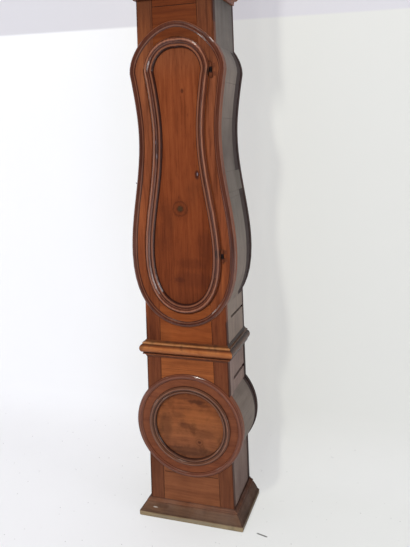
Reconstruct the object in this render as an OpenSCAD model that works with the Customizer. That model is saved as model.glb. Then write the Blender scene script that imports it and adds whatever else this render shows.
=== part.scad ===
// Comtoise longcase clock: a trunk with a violin outline over a drum-shaped base,
// a lift-off hood, and an iron cage movement with two trains, weights and a pendulum.
// The clock stands on the floor at z = 0, faces -Y, and +X is its right side as seen from the front.

/* [Case] */
// Width of the straight case at floor level
case_foot_w = 356.8; // [340:0.2:380]
// Width of the straight case at the top of the trunk
case_top_w = 273.4; // [268:0.2:290]
// Thickness of the front boards
front_t = 22; // [18:0.5:26]
// Thickness of the side boards
side_t = 18; // [14:0.5:20]
// Thickness of the back board
back_t = 14; // [10:0.5:16]
// Depth of the frame that holds the back board
back_frame_t = 20; // [18:0.5:26]
// Width of the front stiles
stile_w = 57.5; // [50:0.5:64]
// Open joint between neighbouring boards
joint_gap = 0.6; // [0.3:0.1:0.9]

/* [Violin outline] */
// Height of the outline's lowest point above the waist moulding
foot_rise = 60; // [50:1:70]
// Height from there to the widest place of the belly
belly_rise = 273; // [260:1:285]
// Half width of the belly
belly_half = 201; // [195:0.5:206]
// Height from the belly to the narrowest place
waist_rise = 435; // [410:1:460]
// Half width at the narrowest place
waist_half = 151; // [148:0.5:156]
// Height from the narrowest place to the hips
hip_rise = 213; // [200:1:225]
// Half width at the hips
hip_half = 174.5; // [170:0.5:180]
// Height from the hips to the crown of the arch
crown_rise = 164; // [155:1:172]
// Height of the trunk's front above the crown
head_rise = 78; // [70:1:90]
// How far the side boards lie inside the front outline
flank_in = 5; // [3:0.5:8]
// Width of the raised rim along the outline
rim_w = 21; // [16:0.5:24]
// How far the rim stands proud of the front
rim_proud = 7; // [4:0.5:9]

/* [Trunk door] */
// Distance from the outline to the door opening
door_in = 50; // [46:0.5:54]
// Gap round the door
door_gap = 1.5; // [1:0.1:2]
// Width of the moulding planted on the door
door_mould_w = 37; // [32:0.5:42]
// How far the door moulding stands proud of the front
door_mould_proud = 11; // [8:0.5:14]
// Depth of the door panel's face behind the front
panel_recess = 6; // [3:0.5:8]
// Length of a hinge barrel
hinge_len = 42; // [32:1:50]
// Radius of a hinge barrel
hinge_r = 4.5; // [4:0.1:5]
// Radius of a hinge pin
hinge_pin_r = 2; // [1.5:0.1:2.5]

/* [Waist moulding and plinth] */
// Height of the bottom of the waist moulding
waist_mould_z = 687; // [680:1:700]
// Height of the waist moulding
waist_mould_h = 70; // [60:1:76]
// How far the round of the waist moulding stands out
waist_mould_out = 23; // [18:0.5:28]
// How far the plinth reaches past the drum at the sides
plinth_past = 0.9; // [0:0.1:6]
// How far the plinth stands out in front
plinth_out_front = 31; // [26:0.5:38]
// Height of the plinth's upright edge
plinth_edge_h = 22; // [18:0.5:26]
// Height of the plinth
plinth_h = 75; // [68:1:82]

/* [Drum] */
// Height of the drum's centre above the middle between plinth and waist moulding
drum_up = 28; // [15:1:35]
// Radius of the drum
drum_r = 218; // [212:0.5:224]
// Outer radius of the ring moulding
ring_r = 168; // [160:0.5:174]
// Width of the ring moulding
ring_w = 29; // [24:0.5:34]
// How far the ring moulding stands proud
ring_proud = 9; // [6:0.5:12]

/* [Hood] */
// Inner half width of the hood
hood_half = 150; // [147:0.5:156]
// Thickness of the hood's side boards
hood_side_t = 15; // [12:0.5:18]
// Height of the hood's base moulding
hood_base_h = 40; // [34:1:46]
// How far the hood's base moulding stands out past the hood
hood_base_out = 14; // [10:0.5:18]
// Room between the crown plate and the hood's top
hood_room = 28; // [20:1:40]
// Height of the cornice above the hood's top
cornice_over = 38; // [30:1:44]
// Height of the cornice
cornice_h = 56; // [46:1:64]
// How far the cornice stands out
cornice_out = 38; // [30:0.5:46]
// Width of the hood door's stiles
hood_stile_w = 30; // [26:0.5:34]
// Thickness of the hood door
hood_door_t = 20; // [17:0.5:23]
// Thickness of the glass
glass_t = 2.5; // [2:0.1:3]

/* [Movement] */
// Height of the movement's seat above the trunk's front
seat_rise = 44; // [36:1:52]
// Half width of the movement's plates
cage_half = 118; // [116:0.5:120]
// Height between the plates
cage_h = 236; // [230:1:242]
// Distance from the case's front boards to the movement's cage
cage_in = 57; // [54:0.5:62]
// Depth of the movement's cage
cage_depth = 118; // [114:0.5:124]
// Thickness of the iron plates
plate_t = 6; // [5:0.5:7]
// Width of a train bar
bar_w = 42; // [40:0.5:44]
// Distance of a train bar from the middle
bar_x = 34; // [33:0.5:35]
// Radius of an arbor
arbor_r = 2.4; // [2.2:0.1:2.6]
// Radius of a pivot
pivot_r = 1.6; // [1.4:0.1:1.8]
// Running clearance of a pivot or bore
run = 0.06; // [0.03:0.01:0.09]
// Height of the barrel arbors above the seat
barrel_up = 60; // [58:0.5:62]
// Distance of a barrel arbor from the middle
barrel_x = 38; // [37:0.5:39]
// Radius of a barrel
barrel_r = 24; // [22:0.5:24.5]
// Length of a barrel
barrel_len = 58; // [54:1:60]
// Thickness of the great wheels
great_t = 4; // [3:0.5:4.5]
// Thickness of the other wheels
wheel_t = 2.5; // [2:0.1:3]
// Tooth module of the great wheels
great_m = 1.25; // [1.2:0.01:1.26]
// Tooth module of the second wheels
second_m = 1; // [0.96:0.01:1.02]
// Tooth module of the third wheels
third_m = 0.9; // [0.88:0.01:0.92]
// Teeth of a great wheel
great_n = 72; // [72:4:72]
// Teeth of the second and third wheels
train_n = 60; // [60:4:60]
// Leaves of a pinion
pinion_n = 8; // [8:1:8]
// Teeth of the escape wheel
escape_n = 30; // [24:2:36]
// Tip radius of the escape wheel
escape_r = 24; // [22:0.5:25]
// Largest swing of the pendulum to each side
swing = 4; // [2:0.5:5]

/* [Dial] */
// Radius of the enamel dial
dial_r = 120; // [112:1:124]
// Height of the dial's centre above the seat
dial_up = 148; // [146:0.5:150]
// Distance from the case's front boards to the dial
dial_in = 15; // [13:0.5:17]
// Height of the crown plate above the dial
crown_top = 92; // [84:1:96]
// Length of the minute hand
minute_len = 94; // [84:1:100]
// Length of the hour hand
hour_len = 66; // [56:1:72]

/* [Weights and pendulum] */
// Radius of a weight
weight_r = 44; // [38:1:46]
// Height of a weight
weight_h = 150; // [120:1:170]
// Height of a weight's foot when it has run down
weight_low_z = 110; // [100:1:160]
// Radius of a rope
rope_r = 2.5; // [2:0.1:2.6]
// Distance of the ropes and weights behind the front of the cage
rope_in = 56; // [50:0.5:58]
// Radius of the pendulum bob
bob_r = 75; // [65:1:80]
// Half thickness of the pendulum bob
bob_half_t = 12; // [9:0.5:14]
// Length of the pendulum from its pivot to the middle of the bob
pendulum_len = 1124; // [1090:1:1150]
// Distance of the pendulum behind the cage
pendulum_in = 16; // [15:0.5:18]
// Room between the pendulum and the back board
pendulum_room = 23; // [20:0.5:30]

/* [Hidden] */

$fn = 64;
hood_door_set = 2;
hood_door_gap = 1;
// The case is as deep as the movement and the pendulum need
case_depth = front_t + cage_in + cage_depth + pendulum_in + pendulum_room + back_t;
// The cornice reaches further forward than the case reaches back, so the case stands behind the origin
case_mid_y = (cornice_out + hood_door_t - hood_door_set) / 2;
front_y = case_mid_y - case_depth / 2;
back_y = case_mid_y + case_depth / 2;
inner_front_y = front_y + front_t;
cage_front_y = inner_front_y + cage_in;
cage_back_y = cage_front_y + cage_depth;
dial_y = inner_front_y + dial_in;
rope_y = cage_front_y + rope_in;
pendulum_y = cage_back_y + pendulum_in;
back_frame_y = back_y - back_frame_t;
// Heights, each built on the one below
split_z = waist_mould_z + waist_mould_h / 2;
foot_z = waist_mould_z + waist_mould_h + foot_rise;
belly_z = foot_z + belly_rise;
waist_z = belly_z + waist_rise;
hip_z = waist_z + hip_rise;
crown_z = hip_z + crown_rise;
case_top_z = crown_z + head_rise;
seat_z = case_top_z + seat_rise;
dial_cz = seat_z + dial_up;
hood_top_z = dial_cz + dial_r + crown_top + hood_room;
cornice_top_z = hood_top_z + cornice_over;
drum_z = (plinth_h + waist_mould_z) / 2 + drum_up;
plinth_out = drum_r + plinth_past - case_foot_w / 2;
outline_steps = 13;

// Half width of the straight, tapering case at a height
function case_half(z) = (case_foot_w + (case_top_w - case_foot_w) * z / case_top_z) / 2;

// Cubic curve through p[0] and p[3] with handles p[1] and p[2], and its direction
function bezier(p, t) =
    pow(1 - t, 3) * p[0] + 3 * t * pow(1 - t, 2) * p[1] + 3 * t * t * (1 - t) * p[2] + pow(t, 3) * p[3];
function bezier_dir(p, t) =
    pow(1 - t, 2) * (p[1] - p[0]) + 2 * t * (1 - t) * (p[2] - p[1]) + t * t * (p[3] - p[2]);
// A point of the curve moved d to the right of its direction, which is inwards on the right half
function inset_point(p, t, d) =
    let (v = bezier_dir(p, t))
    bezier(p, t) + d * [v[1], -v[0]] / norm(v);

// The four curves of the outline's right half, from the crown down to the foot
// The arch's handles keep its tightest bend gentler than the deepest inset
arch_curve = [[0, crown_z], [0.48 * hip_half, crown_z], [hip_half, hip_z + 0.457 * crown_rise],
    [hip_half, hip_z]];
shoulder_curve = [[hip_half, hip_z], [hip_half - 10, hip_z - 0.286 * hip_rise],
    [waist_half, waist_z + hip_rise / 3], [waist_half, waist_z]];
belly_curve = [[waist_half, waist_z], [waist_half, waist_z - 0.352 * waist_rise],
    [belly_half, belly_z + 0.343 * waist_rise], [belly_half, belly_z]];
foot_curve = [[belly_half, belly_z], [belly_half, belly_z - 0.8 * belly_rise],
    [0.39 * belly_half, foot_z], [0, foot_z]];

// Where an inset curve reaches a height, found by halving
function t_at(p, d, z, low, high, n) =
    let (t = (low + high) / 2)
    n == 0 ? t
    : inset_point(p, t, d)[1] > z ? t_at(p, d, z, t, high, n - 1)
    : t_at(p, d, z, low, t, n - 1);
// The mitre where the arch meets the shoulder stays at the hips' height
function hip_level(d) = hip_z + 0.02 * d;

// Right half of the violin outline, moved inwards by d, from the crown to the foot
function violin_half(d) =
    let (
        zc = hip_level(d),
        ta = d == 0 ? 1 : t_at(arch_curve, d, zc, 0.5, 1, 20),
        ts = d == 0 ? 0 : t_at(shoulder_curve, d, zc, 0, 0.5, 20),
        n = outline_steps)
    concat(
        [for (i = [0 : n]) inset_point(arch_curve, ta * i / n, d)],
        [for (i = [1 : n - 4]) inset_point(shoulder_curve, ts + (1 - ts) * i / (n - 4), d)],
        [for (i = [1 : n]) inset_point(belly_curve, i / n, d)],
        [for (i = [1 : n]) inset_point(foot_curve, i / n, d)]);
// The whole closed outline, clockwise from the crown
function violin(d) =
    let (half = violin_half(d), n = len(half))
    concat(half, [for (i = [n - 2 : -1 : 1]) [-half[i][0], half[i][1]]]);

// The straight case's outline between two heights, moved inwards by d
function taper_shape(z0, z1, d) = [
    [-case_half(z0) + d, z0], [case_half(z0) - d, z0], [case_half(z1) - d, z1], [-case_half(z1) + d, z1]];

// A flat shape drawn in X and Z, given its depth from y0 to y1
module slab(y0, y1) {
    translate([0, y1, 0])
        rotate([90, 0, 0])
            linear_extrude(y1 - y0) children();
}

// A flat shape on both sides of the middle
module both() {
    children();
    mirror([1, 0, 0]) children();
}

// A round bar along Y at a place in X and Z
module bar_y(x, z, r, y0, y1) {
    translate([x, y1, z]) rotate([90, 0, 0]) cylinder(r = r, h = y1 - y0);
}

// A moulding carried along the violin outline; each profile point is [inset, y]
module violin_moulding(profile) {
    rows = [for (p = profile) violin(p[0])];
    k = len(rows[0]);
    m = len(profile);
    points = [for (i = [0 : k - 1]) for (j = [0 : m - 1]) [rows[j][i][0], profile[j][1], rows[j][i][1]]];
    faces = [for (i = [0 : k - 1]) for (j = [0 : m - 1])
        let (a = i * m + j, b = i * m + (j + 1) % m, c = ((i + 1) % k) * m + (j + 1) % m,
            e = ((i + 1) % k) * m + j)
        each [[a, b, c], [a, c, e]]];
    polyhedron(points, faces, convexity = 6);
}

// A moulding round the front and both sides, mitred at the corners.
// Each profile point is [stand-out, height]; front_share scales the stand-out in front.
module mitred_moulding(profile, half, y_front, y_back, front_share = 1) {
    n = len(profile);
    intersection() {
        slab(y_front - 100, y_back)
            polygon(concat([for (p = profile) [half + p[0], p[1]]],
                [for (i = [n - 1 : -1 : 0]) [-half - profile[i][0], profile[i][1]]]));
        translate([-half - 100, 0, 0])
            rotate([90, 0, 90])
                linear_extrude(2 * half + 200)
                    polygon(concat([for (p = profile) [y_front - p[0] * front_share, p[1]]],
                        [[y_back, profile[n - 1][1]], [y_back, profile[0][1]]]));
    }
}

// Section: base
base_top_z = split_z;
// Depth of the grooves that show the joints of the front
groove_d = 4;

module plinth() {
    bead_r = 5;
    edge = plinth_edge_h;
    profile = concat(
        [[-3, 0], [plinth_out - 3, 0], [plinth_out, 4], [plinth_out, edge], [plinth_out - 5, edge + 2]],
        [for (i = [0 : 4]) let (t = i / 4)
            [plinth_out - 8 - (plinth_out - 24) * t, edge + 5 + (plinth_h - edge - 25) * pow(t, 0.8)]],
        [for (a = [-60 : 30 : 90]) [9 + bead_r * cos(a), plinth_h - 13 + bead_r * sin(a)]],
        [[3, plinth_h - 4], [2, plinth_h], [-3, plinth_h]]);
    color("saddlebrown") difference() {
        mitred_moulding(profile, case_half(0), front_y, back_y, plinth_out_front / plinth_out);
        slab(front_y, back_y + 1) polygon(taper_shape(-1, plinth_h + 1, 0));
    }
}

// The base front without its stiles, joints or drum
module base_front_shape() {
    difference() {
        polygon(taper_shape(0, base_top_z, 0));
        translate([0, drum_z]) circle(r = drum_r);
    }
}

module base_stiles() {
    color("sienna") slab(front_y, inner_front_y) difference() {
        base_front_shape();
        polygon(taper_shape(-1, base_top_z + 1, stile_w));
    }
}

module base_boards() {
    color("chocolate") for (d = [0, groove_d]) slab(front_y + d, inner_front_y - groove_d + d) intersection() {
        base_front_shape();
        polygon(taper_shape(0, base_top_z, stile_w + (d == 0 ? joint_gap : 0)));
    }
}

// Heights of the slot that is left open between two boards of the base's sides
side_slot_z = 590;
side_slot_h = 14;
side_post = 45;
board_recess = 2;

module base_side_shape(z0, z1, outer, inner) {
    difference() {
        polygon(taper_shape(z0, z1, outer));
        polygon(taper_shape(z0 - 1, z1 + 1, inner));
        translate([0, drum_z]) circle(r = drum_r - flank_in);
    }
}

module base_sides() {
    color("dimgray") {
        slab(inner_front_y, inner_front_y + side_post) base_side_shape(0, base_top_z, 0, side_t);
        for (z = [[0, drum_z - 1], [drum_z, side_slot_z], [side_slot_z + side_slot_h, base_top_z]])
            slab(inner_front_y + side_post, back_frame_y)
                base_side_shape(z[0], z[1], board_recess, side_t);
    }
}

module drum_face() {
    color("sienna") slab(front_y, inner_front_y) translate([0, drum_z]) difference() {
        circle(r = drum_r, $fn = 128);
        circle(r = ring_r - ring_w + 4, $fn = 96);
    }
}

module ring_along_y(profile, y) {
    translate([0, y, drum_z]) rotate([90, 0, 0]) rotate_extrude($fn = 128) polygon(profile);
}

module drum_rim() {
    half = rim_w / 2;
    color("saddlebrown") ring_along_y(concat(
        [[drum_r - rim_w, 0], [drum_r - rim_w, 1.5]],
        [for (a = [150 : -20 : 10]) [drum_r - half + (half - 1) * cos(a), 1 + (rim_proud - 1) * sin(a)]],
        [[drum_r, 1], [drum_r, 0]]), front_y);
}

module drum_moulding() {
    color("saddlebrown") ring_along_y(concat(
        [[ring_r - ring_w, -panel_recess], [ring_r - ring_w, 1]],
        [for (a = [160 : -28 : 20]) [ring_r - ring_w + 6 + 5 * cos(a), 1 + 5 * sin(a)]],
        [[ring_r - ring_w + 12, 3]],
        [for (a = [150 : -24 : 6]) [ring_r - 9 + 8 * cos(a), 2 + (ring_proud - 2) * sin(a)]],
        [[ring_r, 0], [ring_r - ring_w + 4, 0], [ring_r - ring_w + 4, -panel_recess]]), front_y);
}

module drum_panel() {
    color("chocolate") slab(front_y + panel_recess, inner_front_y)
        translate([0, drum_z]) circle(r = ring_r - ring_w + 4, $fn = 96);
}

module drum_flanks() {
    color("gray") slab(inner_front_y, back_frame_y) difference() {
        translate([0, drum_z]) circle(r = drum_r - flank_in, $fn = 128);
        translate([0, drum_z]) circle(r = drum_r - flank_in - side_t, $fn = 128);
        polygon(taper_shape(0, base_top_z, side_t));
    }
}

module base_back_frame() {
    inner = drum_r - flank_in - side_t;
    color("darkslategray") difference() {
        union() {
            slab(back_frame_y, back_y) polygon(taper_shape(0, base_top_z, 0));
            bar_y(0, drum_z, drum_r - 2, back_frame_y, back_y, $fn = 128);
        }
        slab(back_frame_y - 1, back_y + 1) polygon(taper_shape(-1, base_top_z + 1, back_frame_w));
        bar_y(0, drum_z, inner, back_frame_y - 1, back_y + 1, $fn = 128);
    }
}

module waist_moulding() {
    z = waist_mould_z;
    mid = waist_mould_h * 0.53;
    round_h = waist_mould_h * 0.24;
    fillet = waist_mould_out - 10;
    profile = concat(
        [[-3, z], [2, z]],
        [for (a = [10 : 20 : 70]) [2 + 10 * (1 - cos(a)), z + 12 * sin(a)]],
        [[fillet, z + 12.5], [fillet, z + 16.5], [fillet - 2.5, z + 18]],
        [for (a = [-80 : 20 : 80])
            [fillet - 2.5 + 12.5 * cos(a), z + mid + round_h * sin(a)]],
        [[fillet - 2.5, z + mid + round_h + 1], [fillet, z + mid + round_h + 2],
            [fillet, z + mid + round_h + 6]],
        [for (a = [70 : -20 : 10]) [1 + (fillet - 3) * (1 - cos(a)), z + waist_mould_h - 10 * sin(a)]],
        [[-3, z + waist_mould_h]]);
    color("chocolate") difference() {
        mitred_moulding(profile, case_half(split_z), front_y, back_y);
        slab(front_y, back_y + 1) polygon(taper_shape(z - 1, z + waist_mould_h + 1, 0));
    }
}

// Section: trunk
cheek_top_z = seat_z - 20;
flank_top_z = hip_z + 72;
flank_foot_z = foot_z + 90;
// Heights of the slot that is left open between two boards of the trunk's sides
trunk_slot_z = foot_z + 26;
trunk_slot_h = 10;

// The trunk's straight body joined with the violin outline, from y0 to y1
module trunk_outline(y0, y1, top, straight_in, violin_in) {
    slab(y0, y1) polygon(taper_shape(split_z, top, straight_in));
    slab(y0, y1) polygon(violin(violin_in));
}

module trunk_front() {
    difference() {
        trunk_outline(front_y, inner_front_y, case_top_z, 0, 0);
        slab(front_y - 1, inner_front_y + 1) polygon(violin(door_in));
    }
}

module trunk_stiles() {
    color("sienna") difference() {
        trunk_front();
        slab(front_y - 1, inner_front_y + 1) polygon(taper_shape(split_z - 1, case_top_z + 1, stile_w));
        for (z = hinge_places) trunk_hinge_at(z) {
            knuckle_gain();
            wing_slot(1);
        }
    }
}

top_rail_h = 30;
module trunk_rails() {
    z = case_top_z - top_rail_h;
    color("chocolate") difference() {
        intersection() {
            trunk_front();
            slab(front_y - 1, inner_front_y + 1) polygon(taper_shape(split_z, case_top_z, stile_w));
        }
        slab(front_y - 1, front_y + groove_d) difference() {
            polygon(taper_shape(split_z - 1, case_top_z + 1, stile_w - 1));
            polygon(taper_shape(split_z - 2, case_top_z + 2, stile_w + joint_gap));
        }
        translate([-case_half(z), front_y - 1, z - joint_gap]) cube([2 * case_half(z), groove_d + 1, joint_gap]);
    }
}

module violin_rim() {
    w = rim_w;
    h = rim_proud;
    color("saddlebrown") violin_moulding([
        [0, front_y], [0.5, front_y - h * 0.45], [w * 0.2, front_y - h * 0.9], [w * 0.42, front_y - h],
        [w * 0.66, front_y - h * 0.85], [w * 0.82, front_y - h * 0.4], [w, front_y - 0.8], [w, front_y]]);
}

// The boards that close the trunk's sides, between two heights
module flank_boards(z0, z1) {
    y0 = inner_front_y;
    y1 = back_frame_y;
    intersection() {
        difference() {
            trunk_outline(y0, y1, cheek_top_z, 0, flank_in);
            slab(y0 - 1, y1 + 1) polygon(taper_shape(split_z - 1, cheek_top_z + 1, side_t));
            slab(y0 - 1, y1 + 1) polygon(violin(flank_in + side_t));
        }
        translate([-400, y0 - 1, z0]) cube([800, y1 - y0 + 2, z1 - z0]);
    }
}

module trunk_sides() {
    seams = [[split_z, flank_foot_z], [flank_top_z, case_top_z - joint_gap], [case_top_z, cheek_top_z]];
    color("dimgray") difference() {
        for (z = seams) flank_boards(z[0], z[1]);
        translate([-belly_half, inner_front_y + side_post, trunk_slot_z])
            cube([2 * belly_half, case_depth, trunk_slot_h]);
    }
}

// Seams between the boards of the violin flanks
flank_seams = [flank_foot_z, belly_z + 24, waist_z - 227, waist_z - 208, waist_z - 135, waist_z + 51,
    hip_z - 42, flank_top_z];
module violin_flanks() {
    color("gray") for (i = [0 : len(flank_seams) - 2])
        flank_boards(flank_seams[i] + joint_gap, flank_seams[i + 1]);
}

back_frame_w = side_t + 2;
module trunk_back_frame() {
    color("darkslategray") difference() {
        trunk_outline(back_frame_y, back_y, case_top_z, 0, flank_in - 2);
        slab(back_frame_y - 1, back_y + 1)
            polygon(taper_shape(split_z - 1, case_top_z + 1, back_frame_w));
        slab(back_frame_y - 1, back_y + 1) polygon(violin(flank_in + side_t));
    }
}

back_board_top_z = hood_top_z - 14;
module back_board() {
    y = back_y - back_t;
    half = case_half(case_top_z) - back_frame_w;
    color("dimgray") {
        slab(y, back_y) polygon(taper_shape(2, case_top_z, back_frame_w));
        slab(y, back_y) polygon(violin(flank_in + side_t));
        translate([0, back_y, drum_z]) rotate([90, 0, 0])
            cylinder(r = drum_r - flank_in - side_t, h = back_t, $fn = 128);
        translate([-half, y, case_top_z - 1]) cube([2 * half, back_t, hood_foot_z + hood_base_h - case_top_z + 1]);
        translate([-hood_half + 1, y, hood_foot_z + hood_base_h - 10])
            cube([2 * hood_half - 2, back_t, back_board_top_z - hood_foot_z - hood_base_h + 10]);
    }
}

// Section: seat of the movement
rope_x = barrel_x + barrel_r + rope_r + 0.3;
seat_t = 20;
module seat_board() {
    half = case_half(cheek_top_z) - joint_gap;
    color("burlywood") difference() {
        translate([-half, inner_front_y + 6, seat_z - seat_t])
            cube([2 * half, back_y - back_t - 1 - inner_front_y - 6, seat_t]);
        for (s = [-1, 1])
            translate([s * rope_x, rope_y, seat_z - seat_t - 1]) cylinder(r = rope_r + 5, h = seat_t + 2);
        translate([-24, pendulum_y - 9, seat_z - seat_t - 1]) cube([48, 18, seat_t + 2]);
    }
}

// Section: hinges. A barrel with a wing let into each of the two parts; its pin stays in the fixed part.
hinge_places = [0, 1];
hinge_line_out = 1.2;
hinge_y = front_y - 2.5;
hinge_top = [hip_half - door_in + hinge_line_out, hip_z - 2];
hinge_bottom = [belly_half - door_in + hinge_line_out, belly_z + 4];
hinge_tilt = atan2(hinge_bottom[0] - hinge_top[0], hinge_top[1] - hinge_bottom[1]);

module trunk_hinge_at(place) {
    p = place == 0 ? hinge_bottom : hinge_top;
    translate([p[0], hinge_y, p[1]]) rotate([0, -hinge_tilt, 0]) children();
}

// Room for the knuckles in the edges of the stile and the door
hinge_room = 0.5;
module knuckle_gain() {
    r = hinge_r + hinge_room;
    translate([-r, -r, -hinge_len / 2 - 5]) cube([2 * r, 2 * r, hinge_len + 10]);
}

wing_w = 15;
wing_t = 1.6;
// How far the door's own face lies behind the front
door_set = 0.5;
// The fixed leaf: two outer knuckles, a wing towards +X and the pin
module fixed_leaf() {
    third = hinge_len / 3;
    for (z = [-hinge_len / 2, third / 2 + 0.2]) translate([0, 0, z]) {
        difference() {
            cylinder(r = hinge_r, h = third - 0.2);
            translate([0, 0, -1]) cylinder(r = hinge_pin_r, h = third + 2);
        }
        translate([hinge_pin_r + 0.6, front_y - hinge_y, 0]) cube([wing_w - hinge_pin_r, wing_t, third - 0.2]);
    }
    translate([0, 0, -hinge_len / 2 - 1.5]) cylinder(r = hinge_pin_r, h = hinge_len + 3);
    for (z = [-hinge_len / 2 - 3.5, hinge_len / 2 + 0.5]) translate([0, 0, z]) cylinder(r = hinge_r - 1, h = 3);
}

// The moving leaf: the middle knuckle and a wing towards -X
module moving_leaf() {
    third = hinge_len / 3;
    translate([0, 0, -third / 2 + 0.2]) {
        difference() {
            cylinder(r = hinge_r, h = third - 0.4);
            translate([0, 0, -1]) cylinder(r = hinge_pin_r + run, h = third + 2);
        }
        translate([-wing_w, front_y + door_set - hinge_y, 0])
            cube([wing_w - hinge_pin_r - 0.6, wing_t, third - 0.4]);
    }
}

// The recess for a wing in the stile (side 1) or the door (side -1)
module wing_slot(side) {
    face = front_y + (side > 0 ? 0 : door_set) - hinge_y;
    translate([side > 0 ? 0 : -wing_w - 1, face - 1, -hinge_len / 2 - 0.3])
        cube([wing_w + 1, wing_t + 1, hinge_len + 0.6]);
}

module case_hinge_leaves() {
    color("dimgray") for (z = hinge_places) trunk_hinge_at(z) fixed_leaf();
}

module door_hinge_leaves() {
    color("dimgray") for (z = hinge_places) trunk_hinge_at(z) moving_leaf();
}

// Section: trunk door
door_edge = door_in + door_gap;
module door_panel() {
    color("sienna") difference() {
        slab(front_y + door_set, inner_front_y) polygon(violin(door_edge));
        slab(front_y - 1, front_y + panel_recess) polygon(violin(door_edge + door_mould_w - 4));
        for (z = hinge_places) trunk_hinge_at(z) {
            knuckle_gain();
            wing_slot(-1);
        }
    }
}

// The moulding is planted just inside the door's edge, so that the knuckles turn freely
module door_moulding() {
    e = door_edge + hinge_r + 2 * hinge_room - door_gap - hinge_line_out;
    w = door_mould_w - e + door_edge;
    h = door_mould_proud;
    y = front_y + door_set;
    field_y = front_y + panel_recess;
    color("saddlebrown") violin_moulding([
        [e, y], [e, y - h * 0.35], [e + w * 0.1, y - h * 0.85], [e + w * 0.24, y - h],
        [e + w * 0.38, y - h * 0.85], [e + w * 0.5, y - h * 0.42], [e + w * 0.6, y - h * 0.32],
        [e + w * 0.7, y - h * 0.55], [e + w * 0.82, y - h * 0.5], [e + w * 0.93, y - h * 0.1],
        [e + w, y + 4], [e + w, field_y], [e + w - 4, field_y], [e + w - 4, y]]);
}

// Section: hood
hood_foot_z = case_top_z - 5;
hood_box_z = hood_foot_z + hood_base_h;
hood_out = hood_half + hood_side_t;
hood_front_y = front_y + hood_door_set + hood_door_gap;
hood_top_t = 12;
hood_seat_gap = 0.1;
base_hole_half = case_half(case_top_z) + 1.2;

module hood_base() {
    out = hood_out - base_hole_half;
    z = hood_foot_z;
    h = hood_base_h;
    full = out + hood_base_out;
    profile = concat(
        [[0, z], [8, z], [8, z + 4]],
        [for (a = [0 : 18 : 90]) [8 + (full - 12) * (1 - cos(a)), z + 4 + (h - 18) * sin(a)]],
        [[full, z + h - 12]],
        [for (a = [-30 : 30 : 90]) [full - 6 + 6 * cos(a), z + h - 6 + 6 * sin(a)]],
        [[0, z + h]]);
    color("saddlebrown") difference() {
        mitred_moulding(profile, base_hole_half, front_y - 1.2, back_y, 0.75);
        translate([-base_hole_half, front_y - 1.2, z - 1])
            cube([2 * base_hole_half, case_depth + 10, case_top_z + hood_seat_gap - z + 1]);
        translate([-base_hole_half, inner_front_y - 5, z])
            cube([2 * base_hole_half, case_depth + 10, h + 1]);
        translate([-hood_half, back_y - back_t - 1, z - 1]) cube([2 * hood_half, back_t + 10, h + 2]);
    }
}

module hood_shell() {
    z1 = hood_top_z;
    color("sienna") {
        both() translate([hood_half, hood_front_y, hood_box_z])
            cube([hood_side_t, back_y - hood_front_y, z1 - hood_box_z - hood_top_t]);
        translate([-hood_out, hood_front_y, z1 - hood_top_t])
            cube([2 * hood_out, back_y - back_t - 2 - hood_front_y, hood_top_t]);
        translate([-hood_out, hd_y0, hd_z1 + 1]) cube([2 * hood_out, hood_front_y - hd_y0, z1 - hd_z1 - 1]);
    }
}

module hood_cornice() {
    z = cornice_top_z - cornice_h;
    out = cornice_out;
    profile = concat(
        [[0, z], [5, z], [5, z + 6]],
        [for (a = [0 : 15 : 90]) [5 + (out - 12) * (1 - cos(a)), z + 6 + (cornice_h - 28) * sin(a)]],
        [[out - 5, cornice_top_z - 20], [out, cornice_top_z - 18], [out, cornice_top_z - 10],
            [out - 3, cornice_top_z - 8], [out - 3, cornice_top_z], [0, cornice_top_z]]);
    color("saddlebrown") difference() {
        mitred_moulding(profile, hood_out, hd_y0, back_y);
        translate([-hood_out, hd_y0, z - 1]) cube([2 * hood_out, case_depth + 40, hood_top_z - z + 1]);
    }
}

// Hood door: hinged on the right, with a round-headed opening
hd_z0 = hood_box_z + 1;
hd_z1 = cornice_top_z - cornice_h - 1;
hd_y1 = hood_front_y - hood_door_gap;
hd_y0 = hd_y1 - hood_door_t;
hood_hinge_x = hood_out + 4.2;
hood_hinge_y = hd_y1 - 1.5;
hood_hinge_z = [hd_z0 + 60, hd_z1 - 60];
hd_half = hood_out - 0.8;

// Rise of the round head of the door's opening
hood_arch_h = 78;
module hood_door_frame() {
    half = hd_half - hood_stile_w;
    spring = hd_z1 - hood_stile_w - hood_arch_h;
    color("sienna") difference() {
        slab(hd_y0, hd_y1) difference() {
            translate([-hd_half, hd_z0]) square([2 * hd_half, hd_z1 - hd_z0]);
            translate([-half, hd_z0 + hood_stile_w - 8]) square([2 * half, spring - hd_z0 - hood_stile_w + 8]);
            translate([0, spring]) scale([1, hood_arch_h / half]) circle(r = half, $fn = 96);
        }
        slab(hd_y1 - 7, hd_y1 + 1) glass_shape(0.5);
        translate([-hd_half + hood_stile_w / 2, hd_y0 - 1, dial_cz]) rotate([-90, 0, 0]) cylinder(r = 3.2, h = 30);
    }
}

module glass_shape(grow) {
    half = hd_half - hood_stile_w + 6 + grow;
    translate([-half, hd_z0 + hood_stile_w - 8 - 6 - grow])
        square([2 * half, hd_z1 - hd_z0 - 2 * hood_stile_w + 8 + 12 + 2 * grow]);
}

module hood_glass() {
    color("lightblue") slab(hd_y1 - 7, hd_y1 - 7 + glass_t) glass_shape(0);
}

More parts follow.
